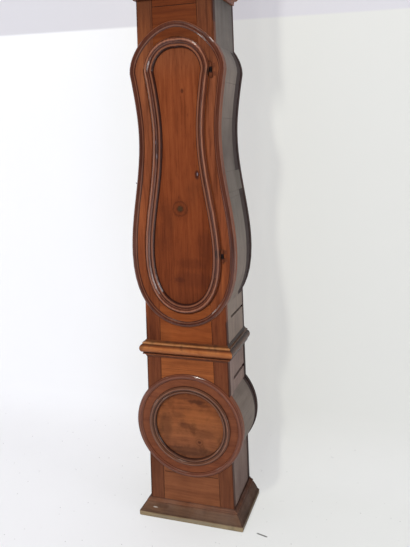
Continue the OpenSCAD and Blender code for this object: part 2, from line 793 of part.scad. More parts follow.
// Small butt hinges: the hood's leaf has the outer knuckles and the pin, the door's leaf the middle one
hood_knuckle_r = hinge_r - 0.6;
module hood_hinge_leaves() {
    third = hinge_len / 3;
    reach = hood_front_y + 22 - hood_hinge_y;
    color("goldenrod") for (z = hood_hinge_z) translate([hood_hinge_x, hood_hinge_y, z]) {
        for (k = [-hinge_len / 2, third / 2 + 0.2]) translate([0, 0, k]) difference() {
            union() {
                cylinder(r = hood_knuckle_r, h = third - 0.2);
                translate([hood_out - hood_hinge_x, 0, 0]) cube([wing_t, reach, third - 0.2]);
                translate([hood_out - hood_hinge_x, hood_front_y - hood_hinge_y, 0]) cube([4, 3, third - 0.2]);
            }
            translate([0, 0, -1]) cylinder(r = hinge_pin_r, h = third + 2);
            translate([-6, -6, -1]) cube([6 + hood_out - hood_hinge_x, 6 + hood_front_y - hood_hinge_y, third + 2]);
        }
        translate([0, 0, -hinge_len / 2 - 1]) cylinder(r = hinge_pin_r, h = hinge_len + 2);
    }
}

module hood_door_leaves() {
    third = hinge_len / 3;
    color("goldenrod") for (z = hood_hinge_z) translate([hood_hinge_x, hood_hinge_y, z - third / 2 + 0.2]) {
        difference() {
            union() {
                cylinder(r = hood_knuckle_r, h = third - 0.4);
                translate([hd_half - hood_hinge_x, -16, 0]) cube([wing_t, 16, third - 0.4]);
                translate([hd_half - hood_hinge_x, -6, 0]) cube([hood_hinge_x - hd_half, 3, third - 0.4]);
            }
            translate([0, 0, -1]) cylinder(r = hinge_pin_r + run, h = third + 2);
        }
    }
}

module hood_door_knob() {
    color("goldenrod") translate([-hd_half + hood_stile_w / 2, hd_y0, dial_cz]) rotate([90, 0, 0])
        rotate_extrude() polygon([[0, -12], [3, -12], [3, 0], [6, 0], [6, 1.5], [3, 3], [3, 6],
            [7, 8], [8, 12], [6.5, 15.5], [3, 17], [0, 17]]);
}

// Section: movement
pillar = 12;
plate_z = seat_z;
cage_z0 = plate_z + plate_t;
cage_z1 = cage_z0 + cage_h;
bar_t = 6;

// Places of the arbors, as [x, z], for the going train on the right
barrel_c = [barrel_x, seat_z + barrel_up];
mesh_1 = (great_n + pinion_n) * great_m / 2;
second_c = barrel_c + [-14, sqrt(mesh_1 * mesh_1 - 14 * 14)];
mesh_2 = (train_n + pinion_n) * second_m / 2;
third_c = second_c + [3, sqrt(mesh_2 * mesh_2 - 9)];
mesh_3 = (train_n + pinion_n) * third_m / 2;
escape_c = [0, third_c[1] + sqrt(mesh_3 * mesh_3 - third_c[0] * third_c[0])];
anchor_c = [0, escape_c[1] + escape_r * sqrt(2)];
fly_c = [-third_c[0] - 20, third_c[1] + sqrt(mesh_3 * mesh_3 - 400)];
function flip(c) = [-c[0], c[1]];
function bearing(a, b) = atan2(b[1] - a[1], b[0] - a[0]);

// Outline of a toothed wheel with a tooth at angle 0
function gear_outline(n, m, tip) =
    let (r = n * m / 2, ro = r + tip * m, ri = r - 1.1 * m, pitch = 360 / n)
    [for (i = [0 : n - 1]) for (q = [[ri, -0.24], [ro, -0.12], [ro, 0.12], [ri, 0.24]])
        let (a = i * pitch + q[1] * pitch * r / q[0])
        q[0] * [cos(a), sin(a)]];

// A wheel with spokes, at a place, with one tooth towards an angle
module wheel(c, n, m, y0, t, turn, spokes, rim, hub) {
    r = n * m / 2;
    slab(y0, y0 + t) translate(c) rotate(turn) difference() {
        polygon(gear_outline(n, m, 0.8));
        if (spokes > 0) for (i = [0 : spokes - 1]) rotate(i * 360 / spokes + 5) difference() {
            intersection() {
                circle(r = r - rim);
                polygon([[0, 0], 2 * r * [cos(12), sin(12)], 2 * r * [cos(180 / spokes), sin(180 / spokes)],
                    2 * r * [cos(360 / spokes - 12), sin(360 / spokes - 12)]]);
            }
            circle(r = hub);
        }
    }
}

// A pinion with a gap towards an angle
module pinion(c, m, y0, y1, turn) {
    slab(y0, y1) translate(c) rotate(turn + 180 / pinion_n) polygon(gear_outline(pinion_n, m, 0.6));
}

// An arbor with a pivot at each end, held in the front and back bars
module arbor(c) {
    bar_y(c[0], c[1], arbor_r, cage_front_y + bar_t + 0.4, cage_back_y - bar_t - 0.4);
    bar_y(c[0], c[1], pivot_r, cage_front_y, cage_back_y);
}

module movement_plates() {
    color("#3a3a3c") for (z = [plate_z, cage_z1]) difference() {
        union() {
            translate([-cage_half, cage_front_y - 6, z])
                cube([2 * cage_half, cage_back_y + 6 - cage_front_y + 6, plate_t]);
            if (z > plate_z) translate([-10, cage_back_y + 6 - 1, z]) cube([20, pendulum_y + 14 - cage_back_y - 5, plate_t]);
        }
        for (s = [-1, 1]) translate([s * rope_x, rope_y, z - 1])
            cylinder(r = rope_r + 4, h = plate_t + 2);
        if (z > plate_z) translate([-cage_half + 4, rope_y - 7, z - 1]) cube([32, 14, plate_t + 2]);
    }
}

module movement_pillars() {
    color("#3a3a3c") for (s = [-1, 1]) for (y = [cage_front_y - 3, cage_back_y - bar_t - 3])
        translate([s * (cage_half - 7) - pillar / 2, y, cage_z0]) cube([pillar, pillar, cage_h]);
}

module train_bars() {
    hole = pivot_r + run;
    color("#4a4a4c") for (y = [cage_front_y, cage_back_y - bar_t]) {
        for (s = [-1, 1]) difference() {
            translate([s * bar_x - bar_w / 2, y, cage_z0]) cube([bar_w, bar_t, cage_h]);
            bar_y(s * barrel_c[0], barrel_c[1], 5 + run, y - 1, y + bar_t + 1);
            for (c = [second_c, third_c]) bar_y(s * c[0], c[1], hole, y - 1, y + bar_t + 1);
            bar_y(fly_c[0], fly_c[1], hole, y - 1, y + bar_t + 1);
            if (y == cage_front_y) bar_y(idle_c[0], idle_c[1], hole, y - 1, y + bar_t + 1);
        }
        difference() {
            translate([-9, y, cage_z0]) cube([18, bar_t, cage_h]);
            bar_y(escape_c[0], escape_c[1], hole, y - 1, y + bar_t + 1);
            bar_y(anchor_c[0], anchor_c[1], y == cage_front_y ? hole : arbor_r + run, y - 1, y + bar_t + 1);
            if (y == cage_front_y) bar_y(0, dial_cz, 2, y - 1, y + bar_t + 1);
        }
        difference() {
            translate([-cage_half + 13, y, hammer_c[1] - 7]) cube([19, bar_t, 14]);
            bar_y(hammer_c[0], hammer_c[1], hole, y - 1, y + bar_t + 1);
        }
    }
}

dial_t = 4;
module dial() {
    color("ivory") difference() {
        slab(dial_y, dial_y + dial_t) translate([0, dial_cz]) circle(r = dial_r, $fn = 128);
        bar_y(0, dial_cz, 7, dial_y - 1, dial_y + 10);
        for (s = [-1, 1]) bar_y(s * barrel_c[0], barrel_c[1], 7.5, dial_y - 1, dial_y + 10);
    }
    color("ivory") for (s = [-1, 1]) for (z = [cage_z0 + 28, cage_z1 - 16])
        bar_y(s * 44, z, 3, dial_y + dial_t, cage_front_y);
}

// The pressed brass plate round and above the dial
crown_t = 1.5;
module crown_plate() {
    r = dial_r + 13;
    // Sideways in parts of the plate's radius, upwards in parts of its height
    a = r / 133;
    b = (dial_r + crown_top) / 212;
    leaf = concat(
        [for (i = [0 : 6]) bezier([[a * 122, b * 40], [a * 150, b * 70], [a * 136, b * 108],
            [a * 104, b * 104]], i / 6)],
        [for (i = [1 : 6]) bezier([[a * 104, b * 104], [a * 92, b * 128], [a * 66, b * 118],
            [a * 60, b * 132]], i / 6)],
        [for (i = [1 : 8]) bezier([[a * 60, b * 132], [a * 54, b * 168], [a * 24, b * 176],
            [0, b * 212]], i / 8)]);
    both_sides = concat(leaf, [for (i = [len(leaf) - 2 : -1 : 0]) [-leaf[i][0], leaf[i][1]]], [[0, 20]]);
    color("goldenrod") slab(dial_y - crown_t, dial_y) translate([0, dial_cz]) difference() {
        union() {
            circle(r = r, $fn = 96);
            polygon(both_sides);
        }
        circle(r = dial_r - 9, $fn = 96);
    }
}

bell_r = 56;
bell_z = cage_z1 + plate_t + 20;
bell_h = 46;
bell_t = 3.5;
module bell() {
    t = bell_t;
    outer = [for (a = [0 : 9 : 81]) [bell_r * pow(cos(a), 0.8), bell_z + bell_h * sin(a)]];
    inner = [for (a = [81 : -9 : 0]) [(bell_r - t) * pow(cos(a), 0.8), bell_z + (bell_h - t) * sin(a)]];
    color("goldenrod") translate([0, rope_y, 0]) rotate_extrude($fn = 96)
        polygon(concat(outer, [[4 + run, bell_z + bell_h], [4 + run, bell_z + bell_h - t]], inner));
}

module bell_stand() {
    color("#4a4a4c") translate([0, rope_y, cage_z1 + plate_t]) {
        cylinder(r = 12, h = 3);
        cylinder(r = 6, h = bell_z + bell_h - bell_t - cage_z1 - plate_t);
        cylinder(r = 4, h = bell_z + bell_h + 12 - cage_z1 - plate_t);
        translate([0, 0, bell_z + bell_h - cage_z1 - plate_t]) cylinder(r = 8, h = 6);
    }
}

cock_y = pendulum_y + 10;
module pendulum_cock() {
    color("#4a4a4c") {
        translate([-8, cock_y, anchor_c[1] - 8]) cube([16, 4, cage_z1 - anchor_c[1] + 8]);
        bar_y(anchor_c[0], anchor_c[1], 2, pendulum_y - 5, cock_y + 1);
    }
}

// Section: barrels and great wheels; side is 1 for the going train and -1 for the strike train
barrel_y0 = [cage_front_y + 25, cage_front_y + 35];
great_y = [cage_back_y - bar_t - 10, cage_front_y + bar_t + 10];
ratchet_r = 16;
ratchet_n = 18;
square_w = 7;
click_w = 5;
going = 1;
strike = 0;
function side_of(k) = k == going ? 1 : -1;
// Y of a barrel's end that faces its great wheel
function barrel_near(k) = k == going ? barrel_y0[1] : barrel_y0[0] + barrel_len;
function great_gap(k) = k == going ? great_y[1] + great_t : great_y[0];

module barrel(k) {
    c = [side_of(k) * barrel_c[0], barrel_c[1]];
    y0 = barrel_y0[k];
    near = barrel_near(k);
    gap = great_gap(k);
    r_y0 = k == going ? gap + 1 : near;
    r_y1 = k == going ? near : gap - 1;
    bar_y(c[0], c[1], barrel_r, y0, y0 + barrel_len);
    for (y = [y0 - 1.5, y0 + barrel_len - 1.5]) bar_y(c[0], c[1], barrel_r + 1, y, y + 3);
    bar_y(c[0], c[1], 5, dial_y + dial_t + 10, cage_back_y);
    slab(r_y0, r_y1) translate(c) polygon([for (i = [0 : ratchet_n - 1]) for (q = [[ratchet_r, 0], [ratchet_r - 3, 3]])
        q[0] * [cos(i * 360 / ratchet_n + q[1]), sin(i * 360 / ratchet_n + q[1])]]);
    translate([c[0] - square_w / 2, dial_y + 1, c[1] - square_w / 2])
        cube([square_w, dial_t + 10, square_w]);
}

module going_barrel() { color("peru") barrel(going); }
module strike_barrel() { color("peru") barrel(strike); }

module great_wheel(k) {
    s = side_of(k);
    c = [s * barrel_c[0], barrel_c[1]];
    mate = [s * second_c[0], second_c[1]];
    y0 = great_y[k == going ? 1 : 0];
    click = k == going ? [great_gap(k), great_gap(k) + click_w] : [great_gap(k) - click_w, great_gap(k)];
    difference() {
        wheel(c, great_n, great_m, y0, great_t, bearing(c, mate), 4, 7, 20);
        bar_y(c[0], c[1], 5 + run, y0 - 1, y0 + great_t + 1);
    }
    slab(click[0], click[1]) translate(c) rotate(40) {
        translate([ratchet_r + 2.2, -3]) square([2.5, 17]);
        translate([ratchet_r + 3.4, 13]) circle(r = 3.4, $fn = 32);
    }
}

module going_great_wheel() { color("gold") great_wheel(going); }
module strike_great_wheel() { color("gold") great_wheel(strike); }

// Section: going train
second_y = [cage_back_y - bar_t - 24, cage_front_y + bar_t + 20];
third_y = [cage_back_y - bar_t - 38, cage_front_y + bar_t + 32];
motion_y = cage_front_y - 10;
motion_m = norm(second_c - [0, dial_cz]) / 36;

module going_second_wheel() {
    color("gold") {
        wheel(second_c, train_n, second_m, second_y[1], wheel_t, bearing(second_c, third_c), 4, 5, 8);
        wheel(second_c, 36, motion_m, motion_y, wheel_t, bearing(second_c, [0, dial_cz]), 4, 5, 8);
    }
    color("#8a8a8c") {
        pinion(second_c, great_m, great_y[1] - 3, great_y[1] + great_t + 3, bearing(second_c, barrel_c));
        arbor(second_c);
        bar_y(second_c[0], second_c[1], pivot_r, motion_y - 2, cage_front_y + 1);
    }
}

module going_third_wheel() {
    color("gold") wheel(third_c, train_n, third_m, third_y[1], wheel_t, bearing(third_c, escape_c), 4, 5, 8);
    color("#8a8a8c") {
        pinion(third_c, second_m, second_y[1] - 3, second_y[1] + wheel_t + 3, bearing(third_c, second_c));
        arbor(third_c);
    }
}

escape_y = second_y[0] - wheel_t - 0.6;
module escape_wheel() {
    pitch = 360 / escape_n;
    color("gold") slab(escape_y, escape_y + wheel_t) translate(escape_c) difference() {
        polygon([for (i = [0 : escape_n - 1]) for (q = [[escape_r - 6, 0], [escape_r, 5], [escape_r, 6.2], [escape_r - 6, 7]])
            q[0] * [cos(i * pitch + q[1]), sin(i * pitch + q[1])]]);
        for (i = [0 : 3]) rotate(i * 90 + 45) translate([11.5, 0]) circle(r = 4.2, $fn = 32);
    }
    color("#8a8a8c") {
        pinion(escape_c, third_m, third_y[1] - 3, third_y[1] + wheel_t + 3, bearing(escape_c, third_c));
        arbor(escape_c);
    }
}

// The pallets stand clear of the wheel's tips over the whole swing
pallet_gap = escape_r * sin(swing) + 0.5;
module anchor() {
    arm = escape_r * sqrt(2);
    tip = escape_r + pallet_gap;
    color("#6a6a6c") {
        slab(escape_y, escape_y + wheel_t) translate(anchor_c) difference() {
            union() {
                circle(r = 7, $fn = 48);
                for (s = [-1, 1]) scale([s, 1]) polygon([[0, 6], [16, 3], [tip + 4, -escape_r + 2],
                    [tip + 2, -escape_r - 1], [tip * 0.9, -escape_r + 7], [12, -5], [0, -4]]);
            }
            translate([0, -arm]) circle(r = escape_r + pallet_gap, $fn = 96);
        }
        bar_y(anchor_c[0], anchor_c[1], arbor_r, cage_front_y + bar_t + 0.4, pendulum_y - 8);
        bar_y(anchor_c[0], anchor_c[1], pivot_r, cage_front_y, cage_front_y + bar_t + 1);
        translate([-3, cage_back_y + 4, anchor_c[1] - crutch_len]) cube([6, 3, crutch_len]);
        translate([-rod_r - 2.8, cage_back_y + 4, anchor_c[1] - crutch_len]) cube([2 * rod_r + 5.6, 3, 5]);
        for (s = [-1, 1]) translate([s * (rod_r + 1.6) - 1.2, cage_back_y + 4, anchor_c[1] - crutch_len])
            cube([2.4, pendulum_y + 3 - cage_back_y - 4, 5]);
    }
}
crutch_len = 118;
rod_r = 2.5;

// Hands; the minute hand's arbor carries the wheel that the second wheel drives
hour_y = dial_y - 5.5;
minute_y = dial_y - 9;
module hand_shape(length, w) {
    difference() {
        union() {
            circle(r = 8, $fn = 48);
            polygon([[-w / 2, 0], [w / 2, 0], [w / 2 - 0.5, length * 0.6], [w * 0.9, length * 0.66],
                [w * 1.1, length * 0.74], [w * 0.5, length * 0.82], [0, length], [-w * 0.5, length * 0.82],
                [-w * 1.1, length * 0.74], [-w * 0.9, length * 0.66], [-w / 2 + 0.5, length * 0.6]]);
        }
        translate([0, length * 0.73]) circle(r = w * 0.45, $fn = 32);
    }
}

cannon_n = 12;
idle_n = 36;
idle_pinion_n = 10;
hour_n = 40;
// The idle wheel's arbor stands clear of the wheel on the minute hand's arbor
idle_x = motion_m * 18 + motion_m + pivot_r + 0.7;
idle_m = 2 * idle_x / (cannon_n + idle_n);
hour_m = 2 * idle_x / (idle_pinion_n + hour_n);
idle_c = [-idle_x, dial_cz];
module minute_hand() {
    color("#202024") slab(minute_y, minute_y + 1.4) translate([0, dial_cz]) rotate(-54) difference() {
        hand_shape(minute_len, 7);
        circle(r = 1.5, $fn = 24);
    }
    color("gold") {
        wheel([0, dial_cz], 36, motion_m, motion_y, wheel_t, bearing([0, dial_cz], second_c) + 5, 4, 5, 8);
        slab(motion_y - 8, motion_y) translate([0, dial_cz]) polygon(gear_outline(cannon_n, idle_m, 0.6));
    }
    color("#8a8a8c") {
        bar_y(0, dial_cz, 2.2, minute_y - 3, cage_front_y - 0.4);
        bar_y(0, dial_cz, 2 - run, cage_front_y - 1, cage_front_y + bar_t);
        bar_y(0, dial_cz, 4, minute_y - 1.8, minute_y);
    }
}

module motion_wheel() {
    color("gold") {
        wheel(idle_c, idle_n, idle_m, motion_y - 7, 2, 5, 0, 5, 8);
        slab(motion_y - 16, motion_y - 7) translate(idle_c)
            rotate(180 / idle_pinion_n) polygon(gear_outline(idle_pinion_n, hour_m, 0.6));
    }
    color("#8a8a8c") bar_y(idle_c[0], idle_c[1], pivot_r, motion_y - 20, cage_front_y + bar_t);
}

module hour_hand() {
    color("#202024") slab(hour_y, hour_y + 1.4) translate([0, dial_cz]) rotate(54) difference() {
        hand_shape(hour_len, 8.5);
        circle(r = 2.2 + run, $fn = 32);
    }
    color("gold") difference() {
        union() {
            wheel([0, dial_cz], hour_n, hour_m, motion_y - 14, 2, 180, 0, 5, 8);
            bar_y(0, dial_cz, 5, hour_y + 1.4, motion_y - 12);
        }
        bar_y(0, dial_cz, 2.2 + run, hour_y - 1, motion_y + 1);
    }
}

// Section: strike train
pin_ring_r = 22;
pin_n = 8;
// The pins end just short of the click on the great wheel
pin_y1 = great_y[0] - click_w - 0.4;
module pin_wheel() {
    c = flip(second_c);
    color("gold") wheel(c, train_n, second_m, second_y[0], wheel_t, bearing(c, flip(third_c)), 0, 5, 8);
    color("#8a8a8c") {
        pinion(c, great_m, great_y[0] - 3, great_y[0] + great_t + 3, bearing(c, flip(barrel_c)));
        arbor(c);
        for (i = [0 : pin_n - 1])
            bar_y(c[0] + pin_ring_r * cos(i * 360 / pin_n), c[1] + pin_ring_r * sin(i * 360 / pin_n), 1.5,
                second_y[0] + wheel_t - 0.5, pin_y1);
    }
}

module strike_third_wheel() {
    c = flip(third_c);
    color("gold") wheel(c, train_n, third_m, third_y[0], wheel_t, bearing(c, fly_c), 4, 5, 8);
    color("#8a8a8c") {
        pinion(c, second_m, second_y[0] - 3, second_y[0] + wheel_t + 3, bearing(c, flip(second_c)));
        arbor(c);
    }
}

fly_half = 23;
module fly() {
    color("#8a8a8c") {
        pinion(fly_c, third_m, third_y[0] - 3, third_y[0] + wheel_t + 3, bearing(fly_c, flip(third_c)));
        arbor(fly_c);
    }
    color("gold") translate([fly_c[0] - 0.7, cage_front_y + 24, fly_c[1] - fly_half])
        cube([1.4, 40, 2 * fly_half]);
}

hammer_c = [-96, seat_z + 118];
tail_t = 5;
module hammer() {
    y = rope_y;
    head_z = bell_z + 9;
    tail_c = flip(second_c);
    color("#6a6a6c") {
        arbor(hammer_c);
        translate([hammer_c[0] - 3, y - 3, hammer_c[1]]) cube([6, 6, head_z - hammer_c[1]]);
        translate([hammer_c[0] - 4, y - 6, head_z - 9]) cube([-bell_r - 3 - hammer_c[0] + 4, 12, 16]);
        slab(pin_y1 - tail_t, pin_y1)
            polygon([[hammer_c[0], hammer_c[1] + 4], [hammer_c[0], hammer_c[1] - 4],
                [tail_c[0] - pin_ring_r - 4.5, tail_c[1] - 6], [tail_c[0] - pin_ring_r - 4.5, tail_c[1] - 3]]);
    }
}

// Section: pendulum, weights and ropes
bob_z = anchor_c[1] - pendulum_len;
module pendulum_rod() {
    z1 = anchor_c[1];
    color("darkkhaki") {
        difference() {
            union() {
                bar_y(0, z1, 6, pendulum_y - 3, pendulum_y + 3);
                translate([0, pendulum_y, bob_z - bob_r - 34]) cylinder(r = rod_r, h = z1 - 4 - bob_z + bob_r + 34);
            }
            bar_y(0, z1, 2 + run, pendulum_y - 6, pendulum_y + 6);
        }
    }
}

module pendulum_bob() {
    color("gold") difference() {
        translate([0, pendulum_y, bob_z]) rotate([90, 0, 0]) rotate_extrude($fn = 96)
            polygon(concat([[0, -bob_half_t], [9, -bob_half_t]],
                [for (a = [-72 : 16 : 72]) [bob_r * pow(cos(a), 0.7), (bob_half_t - 1) * sin(a)]],
                [[9, bob_half_t], [0, bob_half_t]]));
        translate([0, pendulum_y, bob_z - bob_r - 10]) cylinder(r = rod_r + run, h = 2 * bob_r + 20);
    }
    color("goldenrod") difference() {
        translate([0, pendulum_y, bob_z - bob_r - 12]) cylinder(r = 9, h = 12);
        translate([0, pendulum_y, bob_z - bob_r - 20]) cylinder(r = rod_r, h = 30);
    }
}

hook_h = 33;
module weight(s) {
    x = s * rope_x;
    z = weight_low_z;
    color("#303034") translate([x, rope_y, z]) {
        rotate_extrude($fn = 96) polygon([[0, 0], [weight_r - 3, 0], [weight_r, 3], [weight_r, weight_h - 8],
            [weight_r - 4, weight_h - 3], [weight_r - 16, weight_h], [5, weight_h + 1], [5, weight_h + 4],
            [0, weight_h + 4]]);
        translate([0, 0, weight_h]) cylinder(r = 2.5, h = 14);
        translate([0, 0, weight_h + 22]) rotate([90, 0, 0]) rotate_extrude($fn = 48)
            translate([8.5, 0]) circle(r = 2.3, $fn = 24);
    }
}
module going_weight() weight(1);
module strike_weight() weight(-1);

rope_top_z = barrel_c[1];
rope_low_z = weight_low_z + weight_h + hook_h;
module rope(s) {
    color("tan") translate([s * rope_x, rope_y, rope_low_z + 0.2])
        cylinder(r = rope_r, h = rope_top_z - rope_low_z - 0.2, $fn = 24);
}
module going_rope() rope(1);
module strike_rope() rope(-1);

plinth();
base_stiles();
base_boards();
base_sides();
drum_face();
drum_rim();
drum_moulding();
drum_panel();
drum_flanks();
base_back_frame();
waist_moulding();
trunk_stiles();
trunk_rails();
violin_rim();
trunk_sides();
violin_flanks();
trunk_back_frame();
back_board();
seat_board();
case_hinge_leaves();
door_panel();
door_moulding();
door_hinge_leaves();
hood_base();
hood_shell();
hood_cornice();
hood_hinge_leaves();
hood_door_frame();
hood_glass();
hood_door_leaves();
hood_door_knob();
movement_plates();
movement_pillars();
train_bars();
dial();
crown_plate();
bell();
bell_stand();
pendulum_cock();
going_barrel();
going_great_wheel();
going_second_wheel();
going_third_wheel();
escape_wheel();
anchor();
minute_hand();
hour_hand();
motion_wheel();
strike_barrel();
strike_great_wheel();
pin_wheel();
strike_third_wheel();
fly();
hammer();
pendulum_rod();
pendulum_bob();
going_weight();
strike_weight();
going_rope();
strike_rope();
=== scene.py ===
import math

import bpy
from mathutils import Matrix, Vector


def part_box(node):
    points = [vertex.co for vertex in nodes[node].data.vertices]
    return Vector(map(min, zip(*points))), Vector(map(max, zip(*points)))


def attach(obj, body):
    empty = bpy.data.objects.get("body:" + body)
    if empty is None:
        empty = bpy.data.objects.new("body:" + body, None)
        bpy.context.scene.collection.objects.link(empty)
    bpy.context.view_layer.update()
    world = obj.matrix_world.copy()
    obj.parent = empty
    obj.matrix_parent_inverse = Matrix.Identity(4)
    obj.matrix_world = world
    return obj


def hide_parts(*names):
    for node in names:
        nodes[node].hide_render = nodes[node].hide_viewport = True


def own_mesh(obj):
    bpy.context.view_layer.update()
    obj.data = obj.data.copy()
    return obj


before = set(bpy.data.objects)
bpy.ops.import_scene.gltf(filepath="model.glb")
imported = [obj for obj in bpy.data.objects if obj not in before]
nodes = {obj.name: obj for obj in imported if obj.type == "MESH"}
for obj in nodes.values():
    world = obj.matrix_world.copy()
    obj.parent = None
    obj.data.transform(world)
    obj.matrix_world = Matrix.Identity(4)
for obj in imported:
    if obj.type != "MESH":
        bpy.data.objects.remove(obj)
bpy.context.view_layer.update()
print("frame:", len(nodes), "nodes")

# Camera at the photograph's view
cameraPlan = {
    "place": (0.76996, -2.17198, 1.52148),
    "yaw": -0.319594,       # turned towards the clock, radians
    "pitch": 0.222363,      # looking down
    "roll": -0.029149,
    "lens": 40.36,
}


def linked(name, data):
    made = bpy.data.objects.new(name, data)
    bpy.context.scene.collection.objects.link(made)
    return made


def placeCamera(plan):
    yaw, pitch, roll = plan["yaw"], plan["pitch"], plan["roll"]
    forward = Vector((math.sin(yaw) * math.cos(pitch), math.cos(yaw) * math.cos(pitch), -math.sin(pitch)))
    level = Vector((math.cos(yaw), -math.sin(yaw), 0))
    upright = level.cross(forward)
    right = level * math.cos(roll) + upright * math.sin(roll)
    up = upright * math.cos(roll) - level * math.sin(roll)
    data = bpy.data.cameras.new("photoView")
    data.lens = plan["lens"]
    data.sensor_width = 36
    data.clip_end = 50
    eye = linked("photoView", data)
    turn = Matrix((right, up, -forward)).transposed().to_4x4()
    eye.matrix_world = Matrix.Translation(plan["place"]) @ turn
    bpy.context.scene.camera = eye


placeCamera(cameraPlan)
print("camera placed")


def plain(value):
    # three numbers are a screen colour, 0 to 255: as linear light
    if not isinstance(value, tuple) or len(value) != 3:
        return value
    shares = [c / 255 for c in value]
    return (*[c / 12.92 if c <= 0.04045 else ((c + 0.055) / 1.055) ** 2.4 for c in shares], 1)


def operator(kind, swapped=False):
    # what a Wire does with a number or another Wire
    def act(self, other):
        pair = (other, self) if swapped else (self, other)
        return self.look.maths(kind, *pair)
    return act


class Wire:
    # one socket of a shader, with arithmetic
    def __init__(self, look, socket):
        self.look = look
        self.socket = socket

    __add__ = __radd__ = operator("ADD")
    __sub__ = operator("SUBTRACT")
    __rsub__ = operator("SUBTRACT", True)
    __mul__ = __rmul__ = operator("MULTIPLY")
    __truediv__ = operator("DIVIDE")
    __gt__ = operator("GREATER_THAN")

    def size(self):
        return self.look.maths("ABSOLUTE", self)

    def held(self):
        # kept between 0 and 1
        return self.look.maths("ADD", self, 0, clamp=True)


class Look:
    # a material, or the world, under construction
    def __init__(self, name, world=False):
        self.owner = (bpy.data.worlds if world else bpy.data.materials).new(name)
        self.outlet = "ShaderNodeOutputWorld" if world else "ShaderNodeOutputMaterial"
        self.owner.use_nodes = True
        self.tree = self.owner.node_tree
        self.tree.nodes.clear()
        if not world:
            self.place = self.node("ShaderNodeTexCoord", {}, {}, "Object")
            self.x, self.y, self.z = self.parts(self.place)

    def node(self, kind, settings, inputs, output=0):
        made = self.tree.nodes.new(kind)
        for key, value in settings.items():
            if key == "stops":
                ramp = made.color_ramp.elements
                while len(ramp) < len(value):
                    ramp.new(0.5)
                for stop, (spot, tint) in zip(ramp, value):
                    stop.position = spot
                    stop.color = plain(tint)
            else:
                setattr(made, key, value)
        for key, value in inputs.items():
            if isinstance(value, Wire):
                self.tree.links.new(value.socket, made.inputs[key])
            else:
                made.inputs[key].default_value = plain(value)
        return Wire(self, made.outputs[output]) if made.outputs else None

    def maths(self, operation, *values, clamp=False):
        settings = {"operation": operation, "use_clamp": clamp}
        return self.node("ShaderNodeMath", settings, dict(enumerate(values)))

    def parts(self, vector):
        split = self.node("ShaderNodeSeparateXYZ", {}, {0: vector}).socket.node
        return [Wire(self, split.outputs[i]) for i in range(3)]

    def join(self, x, y, z):
        return self.node("ShaderNodeCombineXYZ", {}, {0: x, 1: y, 2: z})

    def noise(self, where, scale, detail=2, rough=0.5, bend=0):
        return self.node("ShaderNodeTexNoise", {}, {
            "Vector": where, "Scale": scale, "Detail": detail, "Roughness": rough, "Distortion": bend})

    def cloud(self, scale, detail=2, rough=0.5):
        return self.noise(self.place, scale, detail, rough)

    def wobble(self, scale, detail, reach):
        # a cloud that strays to both sides of 0
        return (self.cloud(scale, detail) - 0.5) * reach

    def between(self, value, low, high, first=0, last=1):
        # 0 at low, 1 at high, with a soft start and end
        return self.node("ShaderNodeMapRange", {"interpolation_type": "SMOOTHSTEP"}, {
            0: value, 1: low, 2: high, 3: first, 4: last})

    def fade(self, value, low, high):
        # 1 at low, 0 at high
        return self.between(value, low, high, 1, 0)

    def within(self, value, low, high, soft):
        # 1 from low to high, 0 outside
        return self.between(value, low, low + soft) * self.fade(value, high - soft, high)

    def line(self, value, half):
        # 1 where value is 0, fading out to half on both sides
        return self.fade(value.size(), half * 0.25, half)

    def most(self, first, second):
        return second if first is None else self.maths("MAXIMUM", first, second)

    def ramp(self, value, stops):
        return self.node("ShaderNodeValToRGB", {"stops": stops}, {0: value})

    def greyRamp(self, value, stops):
        return self.ramp(value, [(spot, (v, v, v, 1)) for spot, v in stops])

    def blend(self, factor, first, second, mode="MIX"):
        settings = {"data_type": "RGBA", "blend_type": mode}
        return self.node("ShaderNodeMix", settings, {0: factor, 6: first, 7: second}, 2)

    def distance(self, x, z, across=1, along=1):
        # from a line along Y through x, z; across and along stretch the measure
        place = self.join((self.x - x) * across, 0, (self.z - z) * along)
        return self.node("ShaderNodeVectorMath", {"operation": "LENGTH"}, {0: place}, 1)

    def turned(self, centre, pitch):
        # fine rings that a lathe leaves round a centre
        return self.maths("SINE", self.distance(*centre) * pitch)

    def bump(self, height, strength, depth):
        return self.node("ShaderNodeBump", {}, {"Height": height, "Strength": strength, "Distance": depth})

    def ray(self, kind):
        return self.node("ShaderNodeLightPath", {}, {}, kind)

    def mixShader(self, share, first, second):
        return self.node("ShaderNodeMixShader", {}, {0: share, 1: first, 2: second})

    def surface(self, colour, rough, relief, more={}):
        # relief: height, strength and distance of the bump
        return self.finish(self.node("ShaderNodeBsdfPrincipled", {}, {
            "Base Color": colour, "Roughness": rough, "Normal": self.bump(*relief), **more}))

    def finish(self, shader):
        self.node(self.outlet, {}, {0: shader})
        return self.owner


